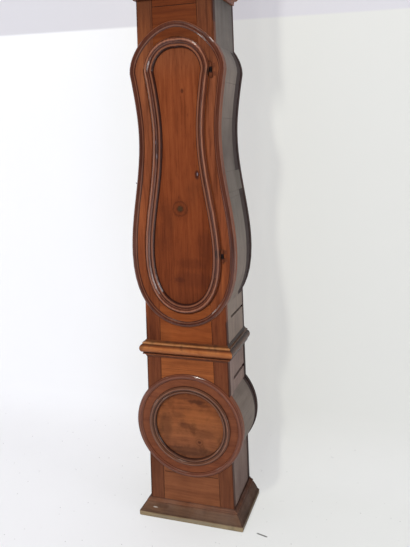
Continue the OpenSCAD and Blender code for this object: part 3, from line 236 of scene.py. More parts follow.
# Wood. Colours are screen colours of the plank's dark, middle and pale grain.
waxed = {
    "tones": [(66, 28, 14), (124, 60, 29), (158, 84, 43)],
    "grain": "z",           # the way the grain runs: x, y, z or round
    "centre": (0, 0.409),   # for round grain
    "figure": 0.35,         # strength of the wide figure
    "streak": 0.4,          # strength of the fine streaks
    "pores": 0.35,
    "patches": 0.4,         # old polish, darker in places
    "patchSize": 5,
    "stain": (46, 22, 14),
    "knots": [],            # x, z, radius, depth of the dark
    "marks": [],            # x, z, half width, half height, strength, colour
    "tint": None,           # lowest z, highest z, colours multiplied in from the bottom up
    "rise": None,           # front plane, height of a moulding, grime with painted shade and wear with painted highlights from its foot to its crest
    "seams": [],            # inset lines from the tapering edge, half width
    "seamGap": (0.84, 1.895),   # heights between which no seam shows
    "levels": [],           # z of dirt lines, half width, lowest and highest half width of x, wave
    "edge": 0,            # dirt at the case's own edges
    "backBand": None,       # y where the dark back begins, low and high z of a board that covers it
    "sideShade": None,      # half width, run of the mitre, what the side's colour is multiplied with
    "rough": 0.46,
    "specular": 0.06,
    "coat": 0.02,
    "coatRough": 0.2,
    "bump": 0.5,
    "dust": 0,
    "shift": 0,           # where in the tree the plank was cut
}
grainPlan = {
    "stretch": 0.055,       # how much longer than wide the grain is
    "roundStretch": 0.012,
    "sway": 0.03,
    "figure": 32,         # scales of the three noises
    "streak": 150,
    "fibre": 620,
}
# Tones of marks on the wood. The grime tone is also painted shade in the mouldings' hollows, the rubbed tone
# also painted highlight on their crests.
soilAndShadeTones = {
    "pore": (36, 17, 10),
    "knot": (30, 16, 12),
    "seam": (30, 14, 9),
    "edge": (44, 24, 18),
    "grimeAndShade": (34, 15, 11),
    "rubbedAndHighlight": (186, 126, 92),
    "dust": (142, 130, 118),
    "back": (50, 32, 30),
}
frontPlane = -0.097
footHalf, topHalf, caseTop = 0.1784, 0.1367, 1.98   # the tapering case, as in the frame


def grainPlace(look, plan):
    # the place in the plank's own lengthened space; the grain sways and flows round each knot
    x, y, z = look.x, look.y, look.z
    shift, grain, stretch = plan["shift"], plan["grain"], grainPlan["stretch"]
    drift = look.wobble(3.5, 2, grainPlan["sway"])
    for knotX, knotZ, size, dark in plan["knots"]:
        near = look.distance(knotX, knotZ, 1, 0.45) / (size * 2.2)
        mask = look.fade(near, 0, 1) * 0.85
        drift = drift - mask * (x - knotX if grain == "z" else z - knotZ)
    if grain == "round":
        centreX, centreZ = plan["centre"]
        angle = look.maths("ARCTAN2", z - centreZ, x - centreX)
        return look.join(look.distance(centreX, centreZ), y, angle * grainPlan["roundStretch"] + shift)
    if grain == "x":
        return look.join(x * stretch + shift, y, z + drift)
    if grain == "y":
        return look.join(x, y * stretch + shift, z)
    return look.join(x + drift, y, z * stretch + shift)


def timber(name, changes):
    plan = dict(waxed, **changes)
    soilAndShade = soilAndShadeTones
    look = Look(name)
    x, y, z = look.x, look.y, look.z
    lie = grainPlace(look, plan)
    figure = look.noise(lie, grainPlan["figure"], 3, 0.55, 0.6)
    streak = look.noise(lie, grainPlan["streak"], 4, 0.6)
    fibre = look.noise(lie, grainPlan["fibre"], 2, 0.6)
    patch = look.noise(look.join(x, y * 0.6, z * 0.7 + plan["shift"]), plan["patchSize"], 3, 0.55)
    tone = (figure - 0.5) * (plan["figure"] * 2) + (streak - 0.5) * (plan["streak"] * 1.6)
    tone = (tone + 0.5 + (patch - 0.5) * 0.7).held()
    dark, middle, pale = plan["tones"]
    colour = look.ramp(tone, [(0.08, dark), (0.47, middle), (0.9, pale)])
    if plan["tint"]:
        low, high, stops = plan["tint"]
        steps = [(spot, (*share, 1)) for spot, *share in stops]
        colour = look.blend(1, colour, look.ramp((z - low) / (high - low), steps), "MULTIPLY")

    def over(mask, cover):
        # lays one more tone over the colour so far
        nonlocal colour
        colour = look.blend(mask, colour, cover)

    gloom = look.between(patch, 0.5, 0.74) * plan["patches"]
    over(gloom, plan["stain"])
    pores = look.between(fibre, 0.6, 0.72) * plan["pores"]
    over(pores, soilAndShade["pore"])
    dents = pores * -0.8
    for knotX, knotZ, size, depth in plan["knots"]:
        near = look.distance(knotX, knotZ) + look.wobble(160, 2, size * 0.7)
        core = look.fade(near, size * 0.25, size * 0.8)
        ring = look.fade((near - size * 1.3).size(), 0, size * 0.28)
        halo = look.fade(near, size * 0.5, size * 2.8)
        mask = (core * depth + ring * (0.4 * depth) + halo * (0.35 * depth)).held()
        over(mask, soilAndShade["knot"])
        dents = dents - mask * 0.8
    for markX, markZ, wide, tall, strength, markTone in plan["marks"]:
        ragged = look.wobble(90, 3, 0.9)
        near = look.distance(markX, markZ, 1 / wide, 1 / tall) + ragged
        mask = look.fade(near, 0.55, 1.35) * strength
        over(mask, markTone)
    fromEdge = (footHalf + (topHalf - footHalf) / caseTop * z) - x.size()
    dirt = None
    straight = 1 - look.within(z, *plan["seamGap"], 0.01)
    for inset, half in plan["seams"]:
        wobble = look.wobble(25, 2, 0.0012)
        dirt = look.most(dirt, straight * look.line(fromEdge - inset + wobble, half))
    for level, half, inner, outer, wave in plan["levels"]:
        wobble = (look.noise(look.join(x, 0, 0), 28, 2) - 0.5) * wave
        line = look.line(z - level + wobble, half) * (x.size() > inner) * (1 - (x.size() > outer))
        dirt = look.most(dirt, line)
    if dirt is not None:
        over(dirt * 0.8, soilAndShade["seam"])
        dents = dents - dirt * 1.5
    if plan["edge"]:
        worn = look.fade(fromEdge + (figure - 0.5) * 0.006, 0.0015, 0.007)
        over(worn * straight * plan["edge"], soilAndShade["edge"])
    if plan["rise"]:
        base, height, grimeAndShade, wearAndHighlight = plan["rise"]
        rise = (base - y) / height + (streak - 0.5) * 0.12
        # By height over the moulding: painted shade with grime, mostly towards its foot, and painted
        # highlight lines with wear on its slopes and crest
        over(look.greyRamp(rise, grimeAndShade), soilAndShade["grimeAndShade"])
        over(look.greyRamp(rise, wearAndHighlight), soilAndShade["rubbedAndHighlight"])
    if plan["dust"]:
        grey = look.cloud(9, 4, 0.65)
        over(look.between(grey, 0.35, 0.75) * plan["dust"], soilAndShade["dust"])
    if plan["backBand"]:
        start, low, high = plan["backBand"]
        uneven = look.wobble(14, 2, 0.004)
        bare = 1 - look.within(z, low, high, 0.002)
        band = look.between(y + uneven, start, start + 0.003) * bare
        over(band * 0.95, soilAndShade["back"])
    if plan["sideShade"]:
        half, run, share = plan["sideShade"]
        side = look.between(x.size() - half - (frontPlane - y) * run, -0.0004, 0.0004)
        over(side, look.blend(1, colour, (*share, 1), "MULTIPLY"))
    rough = plan["rough"] + (streak - 0.5) * 0.16 + (patch - 0.5) * 0.22
    height = fibre * 0.4 + streak * 0.6 + dents
    return look.surface(colour, rough.held(), (height, plan["bump"], 0.0007), {
        "Specular IOR Level": plan["specular"], "Coat Weight": plan["coat"],
        "Coat Roughness": plan["coatRough"], "Coat IOR": 1.45})


# Metals: film is how much of the clean metal has gone dull
def metal(name, clean, dull, rough, tarnish, scale, pits, turned=None):
    look = Look(name)
    cloud = look.cloud(scale, 4, 0.6)
    grit = look.cloud(scale * 22, 3, 0.6)
    film = (look.between(cloud, 0.38, 0.68) * tarnish + (grit - 0.5) * 0.25).held()
    colour = look.blend(film, clean, dull)
    height = grit
    if turned:
        height = grit * 0.5 + look.turned(turned, 5200) * 0.4
    roughness = (rough + film * 0.28 + (grit - 0.5) * 0.1).held()
    return look.surface(colour, roughness, (height, pits, 0.0003), {"Metallic": 1})


brassTone, brassDull = (226, 178, 96), (124, 88, 44)
steelTone, steelDull = (176, 174, 170), (92, 86, 80)


def trainMetal(name, centre, hub, front=None):
    # a brass wheel on a steel arbor; what lies before the plane front is a blued hand
    look = Look(name)
    brassPart = look.between(look.distance(*centre), hub, hub + 0.0004)
    cloud = look.cloud(40, 4, 0.6)
    grit = look.cloud(700, 2, 0.6)
    brass = look.blend(cloud, brassTone, brassDull)
    steel = look.blend(cloud, steelTone, steelDull)
    colour = look.blend(brassPart, steel, brass)
    if front is not None:
        ahead = look.fade(look.y, front, front + 0.0003)
        colour = look.blend(ahead, colour, look.blend(cloud, (34, 38, 66), (20, 20, 28)))
    height = grit * 0.6 + look.turned(centre, 4200) * 0.3
    return look.surface(colour, (cloud * 0.25 + 0.2).held(), (height, 0.2, 0.0002), {"Metallic": 1})


def ironLook(name, tone, rust, rough):
    look = Look(name)
    cloud = look.cloud(18, 5, 0.65)
    grit = look.cloud(260, 4, 0.65)
    spots = look.between(cloud + (grit - 0.5) * 0.4, 0.55, 0.75) * rust
    colour = look.blend(spots, look.blend(grit, tone, (34, 32, 32)), (104, 62, 38))
    return look.surface(colour, (rough + spots * 0.35).held(), (grit * 0.7 + cloud * 0.3, 0.45, 0.0006), {
        "Metallic": (0.85 - spots).held()})


def hingeLook():
    # old hinges under the same brown polish as the case, bare iron only at the middle knuckle
    look = Look("hingeIron")
    middle = None
    for x, z in ((0.1257, 1.736), (0.1522, 1.094)):
        near = look.distance(x, z, 1, 0.8) + look.wobble(120, 2, 0.006)
        spot = look.fade(near, 0.006, 0.0105)
        middle = spot if middle is None else middle + spot
    grit = look.cloud(260, 3, 0.65)
    brown = look.blend(grit, (112, 60, 34), (84, 44, 27))
    colour = look.blend(middle, brown, (26, 20, 20))
    return look.surface(colour, grit * 0.3 + 0.5, (grit, 0.4, 0.0005), {
        "Metallic": middle * 0.4, "Specular IOR Level": 0.1})


def enamelLook():
    look = Look("whiteEnamel")
    cloud = look.cloud(12, 3)
    webs = look.node("ShaderNodeTexVoronoi", {"feature": "DISTANCE_TO_EDGE"}, {
        "Vector": look.place, "Scale": 38})
    hair = look.fade(webs, 0, 0.012) * look.between(cloud, 0.5, 0.62)
    colour = look.blend(cloud, (238, 234, 222), (226, 220, 204))
    colour = look.blend(hair * 0.3, colour, (140, 126, 104))
    return look.surface(colour, (0.12 + cloud * 0.12).held(), (cloud, 0.05, 0.0008), {
        "Coat Weight": 0.6, "Coat Roughness": 0.08})


def glassLook():
    look = Look("oldGlass")
    return look.surface((0.93, 0.97, 0.95, 1), 0.02, (look.cloud(7), 0.06, 0.004), {
        "Transmission Weight": 1, "IOR": 1.45})


def hempLook():
    look = Look("hemp")
    fuzz = look.noise(look.join(look.x, look.y, look.z * 0.25), 900, 3, 0.7)
    cloud = look.cloud(24, 3)
    colour = look.ramp((fuzz * 0.7 + cloud * 0.3).held(), [
        (0.25, (96, 74, 44)), (0.55, (158, 132, 88)), (0.8, (190, 168, 124))])
    return look.surface(colour, 0.9, (fuzz, 0.7, 0.0005))


def paintLook(name, tone, rough):
    look = Look(name)
    cloud = look.cloud(160, 3)
    colour = look.blend(cloud, tone, tuple(min(255, c + 16) for c in tone))
    return look.surface(colour, (rough + cloud * 0.1).held(), (cloud, 0.1, 0.0002))


stileSeams = [(0.0575, 0.0014)]
# Multiplied in by height over the waist moulding: painted shade in its grooves and at its foot, a painted
# highlight on its top fillet
waistShadeAndHighlight = [(0, 0.28, 0.25, 0.25), (0.1, 0.33, 0.3, 0.28), (0.14, 0.6, 0.53, 0.47),
             (0.2, 0.57, 0.5, 0.44), (0.24, 0.15, 0.13, 0.12), (0.32, 0.3, 0.26, 0.24),
             (0.4, 0.6, 0.57, 0.53), (0.5, 0.82, 0.84, 0.8), (0.62, 0.9, 0.95, 0.86),
             (0.68, 0.5, 0.44, 0.4), (0.75, 0.18, 0.16, 0.15), (0.79, 0.95, 1.2, 1.4),
             (0.85, 1.1, 1.45, 1.6), (0.89, 0.22, 0.2, 0.18), (1, 0.36, 0.33, 0.3)]
# Ramps by height over a moulding, foot at 0 and crest at 1: each Soil ramp darkens with grime and painted
# shade, each Wear ramp lightens with wear and thin painted highlight lines
softSoilAndShade = [(0, 0.5), (0.3, 0.2), (0.5, 0), (0.85, 0.12), (1, 0.05)]
softWearAndHighlight = [(0.36, 0), (0.52, 0.22), (0.62, 0.08), (0.75, 0), (0.9, 0), (1, 0.12)]
rimSoilAndShade = [(0, 0.7), (0.3, 0.45), (0.5, 0.05), (0.62, 0.05), (0.85, 0.4), (1, 0.3)]
rimWearAndHighlight = [(0.36, 0), (0.52, 0.4), (0.62, 0.1), (0.75, 0)]
doorSoilAndShade = [(0, 0.85), (0.2, 0.7), (0.36, 0.5), (0.5, 0.08), (0.6, 0.2), (0.75, 0.3), (0.95, 0)]
doorWearAndHighlight = [(0.42, 0), (0.52, 0.32), (0.6, 0), (0.88, 0), (1, 0.5)]
ringSoilAndShade = [(0, 0.85), (0.2, 0.6), (0.34, 0.55), (0.5, 0.2), (0.68, 0.05), (0.8, 0.2), (0.95, 0)]
ringWearAndHighlight = [(0.6, 0), (0.68, 0.2), (0.74, 0), (0.94, 0), (1, 0.25)]

dryBoard = dict(coat=0, specular=0.25, streak=0.35, figure=0.3, pores=0.3, bump=0.7, rough=0.72)
paleBoard = dict(dryBoard, tones=[(81, 75, 67), (113, 105, 95), (132, 124, 112)], patches=0.25, dust=0.3,
                 stain=(60, 50, 46))
polished = dict(coat=1, coatRough=0.12, rough=0.36, pores=0.25)
woods = {
    "trunkStile": dict(tones=[(74, 36, 19), (122, 66, 38), (150, 86, 48)], figure=0.4, streak=0.6,
        shift=1.7, seams=stileSeams, edge=0.7, stain=(70, 36, 22), patches=0.3,
        tint=(0.72, 2, [(0, 0.6, 0.56, 0.54), (0.08, 0.7, 0.64, 0.6), (0.16, 0.85, 0.78, 0.7),
        (0.35, 1.12, 1.05, 1), (0.78, 1, 1.08, 1.2), (0.9, 0.68, 0.7, 0.72),
        (1, 0.42, 0.46, 0.5)])),
    "trunkRail": dict(tones=[(84, 40, 19), (130, 68, 33), (158, 90, 47)], grain="x", figure=0.25, shift=4.1,
        seams=stileSeams, levels=[(1.95, 0.0018, -1, 0.09, 0)], tint=(0.72, 2, [(0, 1.1, 1.05, 0.9),
        (0.12, 0.9, 0.86, 0.78), (0.8, 0.64, 0.6, 0.5), (0.93, 0.52, 0.44, 0.36),
        (1, 0.5, 0.43, 0.38)])),
    "baseStile": dict(tones=[(68, 36, 22), (103, 58, 36), (131, 77, 47)], figure=0.25, shift=6.3,
        seams=stileSeams, edge=0.7, tint=(0.07, 0.73, [(0, 1, 1.08, 1.2), (0.3, 1, 1.05, 1.1),
        (1, 1.05, 0.95, 0.88)])),
    "baseBoard": dict(tones=[(88, 46, 25), (140, 79, 43), (169, 101, 56)], grain="x", figure=0.25,
        shift=9.2, seams=stileSeams, levels=[(0.2, 0.0024, 0.045, 0.112, 0.006),
        (0.643, 0.0007, -1, 0.09, 0)], tint=(0.07, 0.73, [(0, 0.74, 0.84, 1.1),
        (0.3, 0.76, 0.86, 1.12), (0.7, 1, 0.96, 0.86), (1, 0.92, 0.88, 0.78)])),
    "drumFace": dict(tones=[(82, 44, 30), (120, 69, 44), (147, 88, 55)], grain="x", figure=0.2, streak=0.3,
        shift=11, patches=0.35, tint=(0.19, 0.63, [(0, 1, 0.94, 0.9), (0.5, 0.98, 1, 1.06),
        (1, 0.96, 0.94, 0.96)])),
    "drumPanel": dict(tones=[(80, 47, 30), (129, 76, 45), (160, 99, 59)], grain="x", shift=13.4, figure=0.3,
        streak=0.3, patches=0.55, patchSize=20, knots=[(0.038, 0.342, 0.011, 0.5)],
        marks=[(-0.02, 0.408, 0.028, 0.012, 0.5, (58, 32, 22)),
        (0.03, 0.512, 0.04, 0.009, 0.6, (46, 26, 20)), (0.06, 0.5, 0.026, 0.01, 0.45, (50, 28, 20)),
        (0, 0.3, 0.1, 0.022, 0.5, (62, 40, 28)), (-0.1, 0.4, 0.024, 0.06, 0.4, (62, 38, 26)),
        (0.02, 0.45, 0.07, 0.03, 0.35, (156, 92, 48)), (-0.05, 0.45, 0.03, 0.012, 0.35, (66, 38, 26)),
        (0.06, 0.38, 0.04, 0.02, 0.35, (66, 38, 26)), (0, 0.53, 0.09, 0.012, 0.35, (70, 40, 28))],
        tint=(0.27, 0.55, [(0, 0.85, 0.9, 1.1), (0.5, 1.05, 1.05, 1), (1, 1, 0.88, 0.72)])),
    "doorPanel": dict(tones=[(85, 39, 17), (118, 59, 30), (137, 72, 37)], figure=0.4, streak=0.65,
        patches=0.4, patchSize=7, shift=0.3, rough=0.38, knots=[(-0.007, 1.262, 0.02, 0.7),
        (0.0168, 1.672, 0.004, 0.6)], marks=[(0.0168, 1.672, 0.003, 0.009, 0.6, (40, 20, 14)),
        (-0.007, 1.262, 0.01, 0.01, 0.6, (78, 60, 38)), (0.09, 1.13, 0.03, 0.05, 0.35, (66, 30, 18)),
        (0.03, 1.06, 0.06, 0.02, 0.3, (70, 32, 18)), (-0.06, 1.2, 0.02, 0.1, 0.3, (70, 32, 18)),
        (0.03, 1, 0.08, 0.03, 0.3, (72, 34, 20)), (-0.017, 0.997, 0.02, 0.01, 0.35, (58, 28, 20)),
        (0.062, 1.384, 0.008, 0.016, 0.8, (40, 22, 20)),
        (0.0635, 1.386, 0.0022, 0.006, 0.8, (124, 114, 118))],
        tint=(0.86, 1.86, [(0, 0.6, 0.6, 0.62), (0.1, 0.76, 0.72, 0.7), (0.35, 0.94, 0.9, 0.86),
        (0.7, 1, 1, 1), (0.85, 1, 1.02, 1.02), (0.93, 0.98, 1.16, 1.4),
        (1, 0.9, 1.06, 1.3)])),
    "violinRim": dict(tones=[(53, 23, 14), (94, 48, 30), (124, 69, 45)], shift=15.2,
        rise=(frontPlane, 0.007, rimSoilAndShade, rimWearAndHighlight), **polished),
    "doorMoulding": dict(tones=[(49, 22, 13), (90, 45, 28), (118, 65, 43)], shift=17.5,
        rise=(frontPlane + 0.0005, 0.011, doorSoilAndShade, doorWearAndHighlight),
        marks=[(0.066, 1.384, 0.007, 0.02, 0.8, (36, 22, 22)),
        (0.0655, 1.386, 0.002, 0.008, 0.8, (134, 124, 130)),
        (-0.084, 1.47, 0.008, 0.05, 0.7, (40, 26, 28)),
        (-0.0835, 1.45, 0.0022, 0.01, 0.5, (128, 118, 124)),
        (-0.085, 1.5, 0.002, 0.007, 0.45, (118, 104, 110)),
        (0.12, 1.73, 0.01, 0.014, 0.9, (30, 18, 14)), (0.136, 1.1, 0.012, 0.018, 0.8, (34, 18, 14))],
        **polished),
    "drumRim": dict(tones=[(58, 26, 14), (101, 51, 31), (129, 73, 44)], grain="round", coat=0.8,
        coatRough=0.16, rise=(frontPlane, 0.007, softSoilAndShade, softWearAndHighlight), pores=0.25, rough=0.38),
    "drumMoulding": dict(tones=[(50, 27, 17), (92, 55, 36), (123, 80, 53)], grain="round", coat=0.8,
        coatRough=0.16, rise=(frontPlane, 0.009, ringSoilAndShade, ringWearAndHighlight), pores=0.25, rough=0.4, patches=0.5),
    "waistMoulding": dict(tones=[(111, 57, 28), (170, 99, 53), (206, 135, 82)], grain="x", shift=19,
        coat=0.35, coatRough=0.16, patches=0.6, patchSize=26, sideShade=(0.163, 1, (0.2, 0.19, 0.22)),
        tint=(0.687, 0.757, waistShadeAndHighlight)),
    "hoodMoulding": dict(tones=[(58, 28, 17), (112, 60, 34), (150, 88, 54)], grain="x", shift=21,
        coat=0.3),
    "hoodBoard": dict(tones=[(66, 32, 18), (116, 62, 35), (146, 84, 48)], shift=23),
    "sideBoard": dict(paleBoard, shift=25, tint=(0.76, 2, [
        (0, 1.38, 1.22, 1.15), (0.2, 1.4, 1.34, 1.3), (0.42, 0.88, 0.9, 0.9), (0.55, 0.62, 0.6, 0.58),
        (0.75, 1.28, 1.22, 1.2), (0.85, 0.86, 0.88, 0.9), (1, 0.7, 0.73, 0.76)])),
    "flankBoard": dict(paleBoard, shift=26, backBand=(0.078, 1.317, 1.39),
        tint=(0.76, 2, [(0, 1.38, 1.22, 1.15), (0.2, 1.3, 1.22, 1.2), (0.42, 0.82, 0.84, 0.82),
        (0.55, 0.6, 0.56, 0.55), (0.75, 1.28, 1.22, 1.2), (0.85, 0.86, 0.88, 0.9),
        (1, 0.7, 0.73, 0.76)])),
    "baseSide": dict(tones=[(78, 66, 60), (114, 97, 88), (136, 120, 108)], shift=27, patches=0.35,
        dust=0.25, stain=(56, 44, 40), tint=(0.07, 0.73, [(0, 0.85, 0.76, 0.72),
        (0.35, 1, 0.9, 0.86), (1, 1.5, 1.42, 1.42)]), **dryBoard),
    "drumFlank": dict(tones=[(76, 67, 58), (110, 98, 87), (132, 120, 108)], grain="y", shift=29, coat=0,
        specular=0.25, rough=0.68, figure=0.25, streak=0.35, patches=0.3, pores=0.25, dust=0.3, bump=0.6,
        stain=(56, 46, 42), backBand=(0.108, 3, 3.1)),
    "backFrame": dict(tones=[(30, 16, 13), (52, 32, 28), (74, 46, 40)], shift=31, rough=0.5, figure=0.4,
        patches=0.5),
    "bareWood": dict(tones=[(128, 98, 66), (168, 134, 94), (196, 164, 122)], shift=33, coat=0,
        rough=0.8, figure=0.5, streak=0.4, patches=0.35, pores=0.3, dust=0.3, patchSize=3,
        stain=(96, 74, 52)),
    "seatWood": dict(tones=[(112, 82, 52), (150, 116, 78), (180, 146, 104)], grain="x", shift=35,
        coat=0, rough=0.8, figure=0.5, dust=0.35, stain=(86, 64, 44)),
    "plinthWood": dict(tones=[(70, 48, 36), (110, 82, 62), (138, 108, 84)], grain="x", shift=37,
        rough=0.55, figure=0.35, patches=0.5, patchSize=14, dust=0.15,
        sideShade=(0.178, 1.306, (0.52, 0.52, 0.56)),
        marks=[(-0.153, 0.041, 0.009, 0.0022, 0.8, (190, 182, 168)),
        (-0.12, 0.05, 0.03, 0.008, 0.4, (58, 36, 26)), (0.03, 0.012, 0.1, 0.006, 0.6, (136, 128, 108)),
        (-0.1, 0.01, 0.07, 0.005, 0.6, (140, 132, 112))], tint=(0, 0.075, [(0, 1.8, 2.5, 2.4),
        (0.24, 1.9, 2.6, 2.4), (0.3, 0.6, 0.58, 0.56), (0.4, 0.8, 0.76, 0.72),
        (0.7, 0.86, 0.8, 0.76), (0.84, 1.05, 0.78, 0.66), (0.93, 0.95, 0.66, 0.52),
        (1, 0.6, 0.4, 0.34)])),
}
metals = {
    # clean and dull colour, roughness, dullness, scale of its clouds, pits, centre of the lathe's rings
    "sheetBrass": (brassTone, brassDull, 0.28, 0.5, 18, 0.2),
    "castBrass": ((212, 164, 88), (112, 80, 42), 0.34, 0.6, 30, 0.3),
    "bellMetal": ((206, 168, 98), (122, 98, 58), 0.24, 0.5, 20, 0.25),
    "bobBrass": ((214, 168, 90), (122, 90, 48), 0.3, 0.6, 22, 0.3, (0, 1.09)),
    "turnedSteel": (steelTone, steelDull, 0.32, 0.5, 26, 0.2),
    "wireSteel": ((150, 146, 140), (86, 74, 62), 0.4, 0.6, 40, 0.3),
}
irons = {
    # colour, rust, roughness
    "frameIron": ((64, 60, 58), 0.25, 0.45),
    "nailIron": ((52, 44, 40), 0.6, 0.55),
    "castIron": ((66, 62, 60), 0.55, 0.6),
}
finishes = {name: timber(name, changes) for name, changes in woods.items()}
finishes.update({name: metal(name, *values) for name, values in metals.items()})
finishes.update({name: ironLook(name, *values) for name, values in irons.items()})
finishes.update({
    "whiteEnamel": enamelLook(),
    "oldGlass": glassLook(),
    "hingeIron": hingeLook(),
    "hemp": hempLook(),
    "blackPaint": paintLook("blackPaint", (20, 19, 20), 0.3),
})
print("finishes:", len(finishes))

# Where the movement's arbors stand, in metres, as its tooth counts give it
trainPlan = {
    "seat": 2.024,
    "barrel": (0.038, 0.06),    # from the middle and from the seat
    "greatMesh": 0.05,          # distances between arbors that mesh
    "secondMesh": 0.034,
    "thirdMesh": 0.0306,
    "secondStep": -0.014,       # how far each arbor stands sideways from the one before
    "thirdStep": 0.003,
    "flyStep": -0.02,
    "dialUp": 0.148,
    "hubs": {"great": 0.0085, "second": 0.0064, "third": 0.0052, "last": 0.0046, "idle": 0.0026,
             "hand": 0.0024},
    "handFronts": {"minute_hand": -0.0665, "hour_hand": -0.0638},
}


def meshed(spot, step, mesh):
    # the arbor that stands step to the side of spot, at the meshing distance above it
    return (spot[0] + step, spot[1] + math.sqrt(mesh ** 2 - step ** 2))


def mirrored(spot):
    return (-spot[0], spot[1])


barrelAt = (trainPlan["barrel"][0], trainPlan["seat"] + trainPlan["barrel"][1])
secondAt = meshed(barrelAt, trainPlan["secondStep"], trainPlan["greatMesh"])
thirdAt = meshed(secondAt, trainPlan["thirdStep"], trainPlan["secondMesh"])
escapeAt = meshed(thirdAt, -thirdAt[0], trainPlan["thirdMesh"])
flyAt = meshed(mirrored(thirdAt), trainPlan["flyStep"], trainPlan["thirdMesh"])
dialAt = (0, trainPlan["seat"] + trainPlan["dialUp"])
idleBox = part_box("motion_wheel")
idleAt = ((idleBox[0].x + idleBox[1].x) / 2, dialAt[1])

wheels = {
    "going_great_wheel": (barrelAt, "great"), "strike_great_wheel": (mirrored(barrelAt), "great"),
    "going_second_wheel": (secondAt, "second"), "pin_wheel": (mirrored(secondAt), "second"),
    "going_third_wheel": (thirdAt, "third"), "strike_third_wheel": (mirrored(thirdAt), "third"),
    "escape_wheel": (escapeAt, "last"), "fly": (flyAt, "last"), "motion_wheel": (idleAt, "idle"),
    "minute_hand": (dialAt, "hand"), "hour_hand": (dialAt, "hand"),
}
nodesOf = {
    "plinthWood": "plinth", "baseStile": "base_stiles", "baseBoard": "base_boards", "baseSide": "base_sides",
    "drumFace": "drum_face", "drumRim": "drum_rim", "drumMoulding": "drum_moulding",
    "drumPanel": "drum_panel", "drumFlank": "drum_flanks", "backFrame": "base_back_frame trunk_back_frame",
    "waistMoulding": "waist_moulding", "trunkStile": "trunk_stiles", "trunkRail": "trunk_rails",
    "violinRim": "violin_rim", "sideBoard": "trunk_sides", "flankBoard": "violin_flanks",
    "bareWood": "back_board", "seatWood": "seat_board", "doorPanel": "door_panel",
    "doorMoulding": "door_moulding", "hingeIron": "case_hinge_leaves door_hinge_leaves",
    "hoodMoulding": "hood_base hood_cornice", "hoodBoard": "hood_shell hood_door_frame",
    "oldGlass": "hood_glass", "castBrass": "hood_hinge_leaves hood_door_leaves hood_door_knob",
    "frameIron": "movement_plates movement_pillars train_bars bell_stand pendulum_cock",
    "whiteEnamel": "dial", "sheetBrass": "crown_plate", "bellMetal": "bell",
    "turnedSteel": "going_barrel strike_barrel anchor hammer", "wireSteel": "pendulum_rod",
    "bobBrass": "pendulum_bob", "castIron": "going_weight strike_weight", "hemp": "going_rope strike_rope",
}


def dress(mesh, material):
    mesh.materials.clear()
    mesh.materials.append(material)


for finish, names in nodesOf.items():
    for name in names.split():
        dress(nodes[name].data, finishes[finish])
for name, (centre, hub) in wheels.items():
    front = trainPlan["handFronts"].get(name)
    dress(nodes[name].data, trainMetal(name + "Metal", centre, trainPlan["hubs"][hub], front))
print("nodes dressed")


def makePiece(name, heap, finish, body, smooth=False):
    mesh = bpy.data.meshes.new(name)
    mesh.from_pydata([tuple(v) for v in heap.vertices], [], heap.faces)
    mesh.validate()
    mesh.update()
    piece = linked(name, mesh)
    dress(mesh, finishes[finish])
    if smooth:
        mesh.shade_smooth()
    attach(piece, body)
    return piece


class Heap:
    # vertices and faces that become one piece
    def __init__(self):
        self.vertices = []
        self.faces = []

    def add(self, vertices, faces):
        start = len(self.vertices)
        self.vertices.extend(vertices)
        self.faces.extend([tuple(start + i for i in face) for face in faces])

    def sweep(self, rings, closedEnds=True, loop=False):
        # rings of equal length joined in a row
        count = len(rings[0])
        flat = [v for ring in rings for v in ring]
        faces = []
        rows = len(rings) if loop else len(rings) - 1
        for i in range(rows):
            for j in range(count):
                k = (j + 1) % count
                n = (i + 1) % len(rings)
                faces.append((i * count + j, i * count + k, n * count + k, n * count + j))
        if closedEnds and not loop:
            faces.append(tuple(range(count - 1, -1, -1)))
            faces.append(tuple((len(rings) - 1) * count + j for j in range(count)))
        self.add(flat, faces)

    def prism(self, outline, back, front, where):
        # a flat outline in the dial's plane, raised towards the viewer
        count = len(outline)
        low = [where(u, v, back) for u, v in outline]
        high = [where(u, v, front) for u, v in outline]
        faces = [tuple(range(count)), tuple(range(2 * count - 1, count - 1, -1))]
        faces += [(j, count + j, count + (j + 1) % count, (j + 1) % count) for j in range(count)]
        self.add(low + high, faces)


def turnedRing(heap, centre, profile, steps=48):
    # a profile of (radius, y) turned round a line along Y
    rings = []
    for i in range(steps):
        a = math.tau * i / steps
        rings.append([(centre[0] + r * math.cos(a), y, centre[1] + r * math.sin(a)) for r, y in profile])
    heap.sweep(rings, loop=True)


# Dial figures: a ring of hour numerals inside the winding holes and a minute track outside them
dialPlan = {
    "numerals": ["XII", "I", "II", "III", "IIII", "V", "VI", "VII", "VIII", "IX", "X", "XI"],
    "numeralFoot": 0.06,
    "numeralHead": 0.08,
    "thick": 0.0034,        # wide strokes
    "thin": 0.0011,
    "serif": 0.0009,
    "widths": {"I": 0.0052, "V": 0.0125, "X": 0.0125},
    "trackInner": 0.1035,
    "trackOuter": 0.108,
    "trackLine": 0.0005,
    "minuteHalf": 0.0005,
    "fiveHalf": 0.0013,     # half width of every fifth mark
    "lozengeAt": 0.0945,
    "lozenge": [(0, -0.0042), (0.0021, 0), (0, 0.0042), (-0.0021, 0)],
    "holeHours": (5, 7),    # the winding holes are here
    "lift": 0.00015,
    "face": -0.06,
}


def onDial(bearing, foot, head=None):
    # places u, v of a figure that stands on the circle foot; with head given it fans out up to there
    def where(u, v, y):
        reach = foot + v
        spread = u * reach / head if head else u
        return (reach * math.sin(bearing) + spread * math.cos(bearing), y,
                dialAt[1] + reach * math.cos(bearing) - spread * math.sin(bearing))
    return where


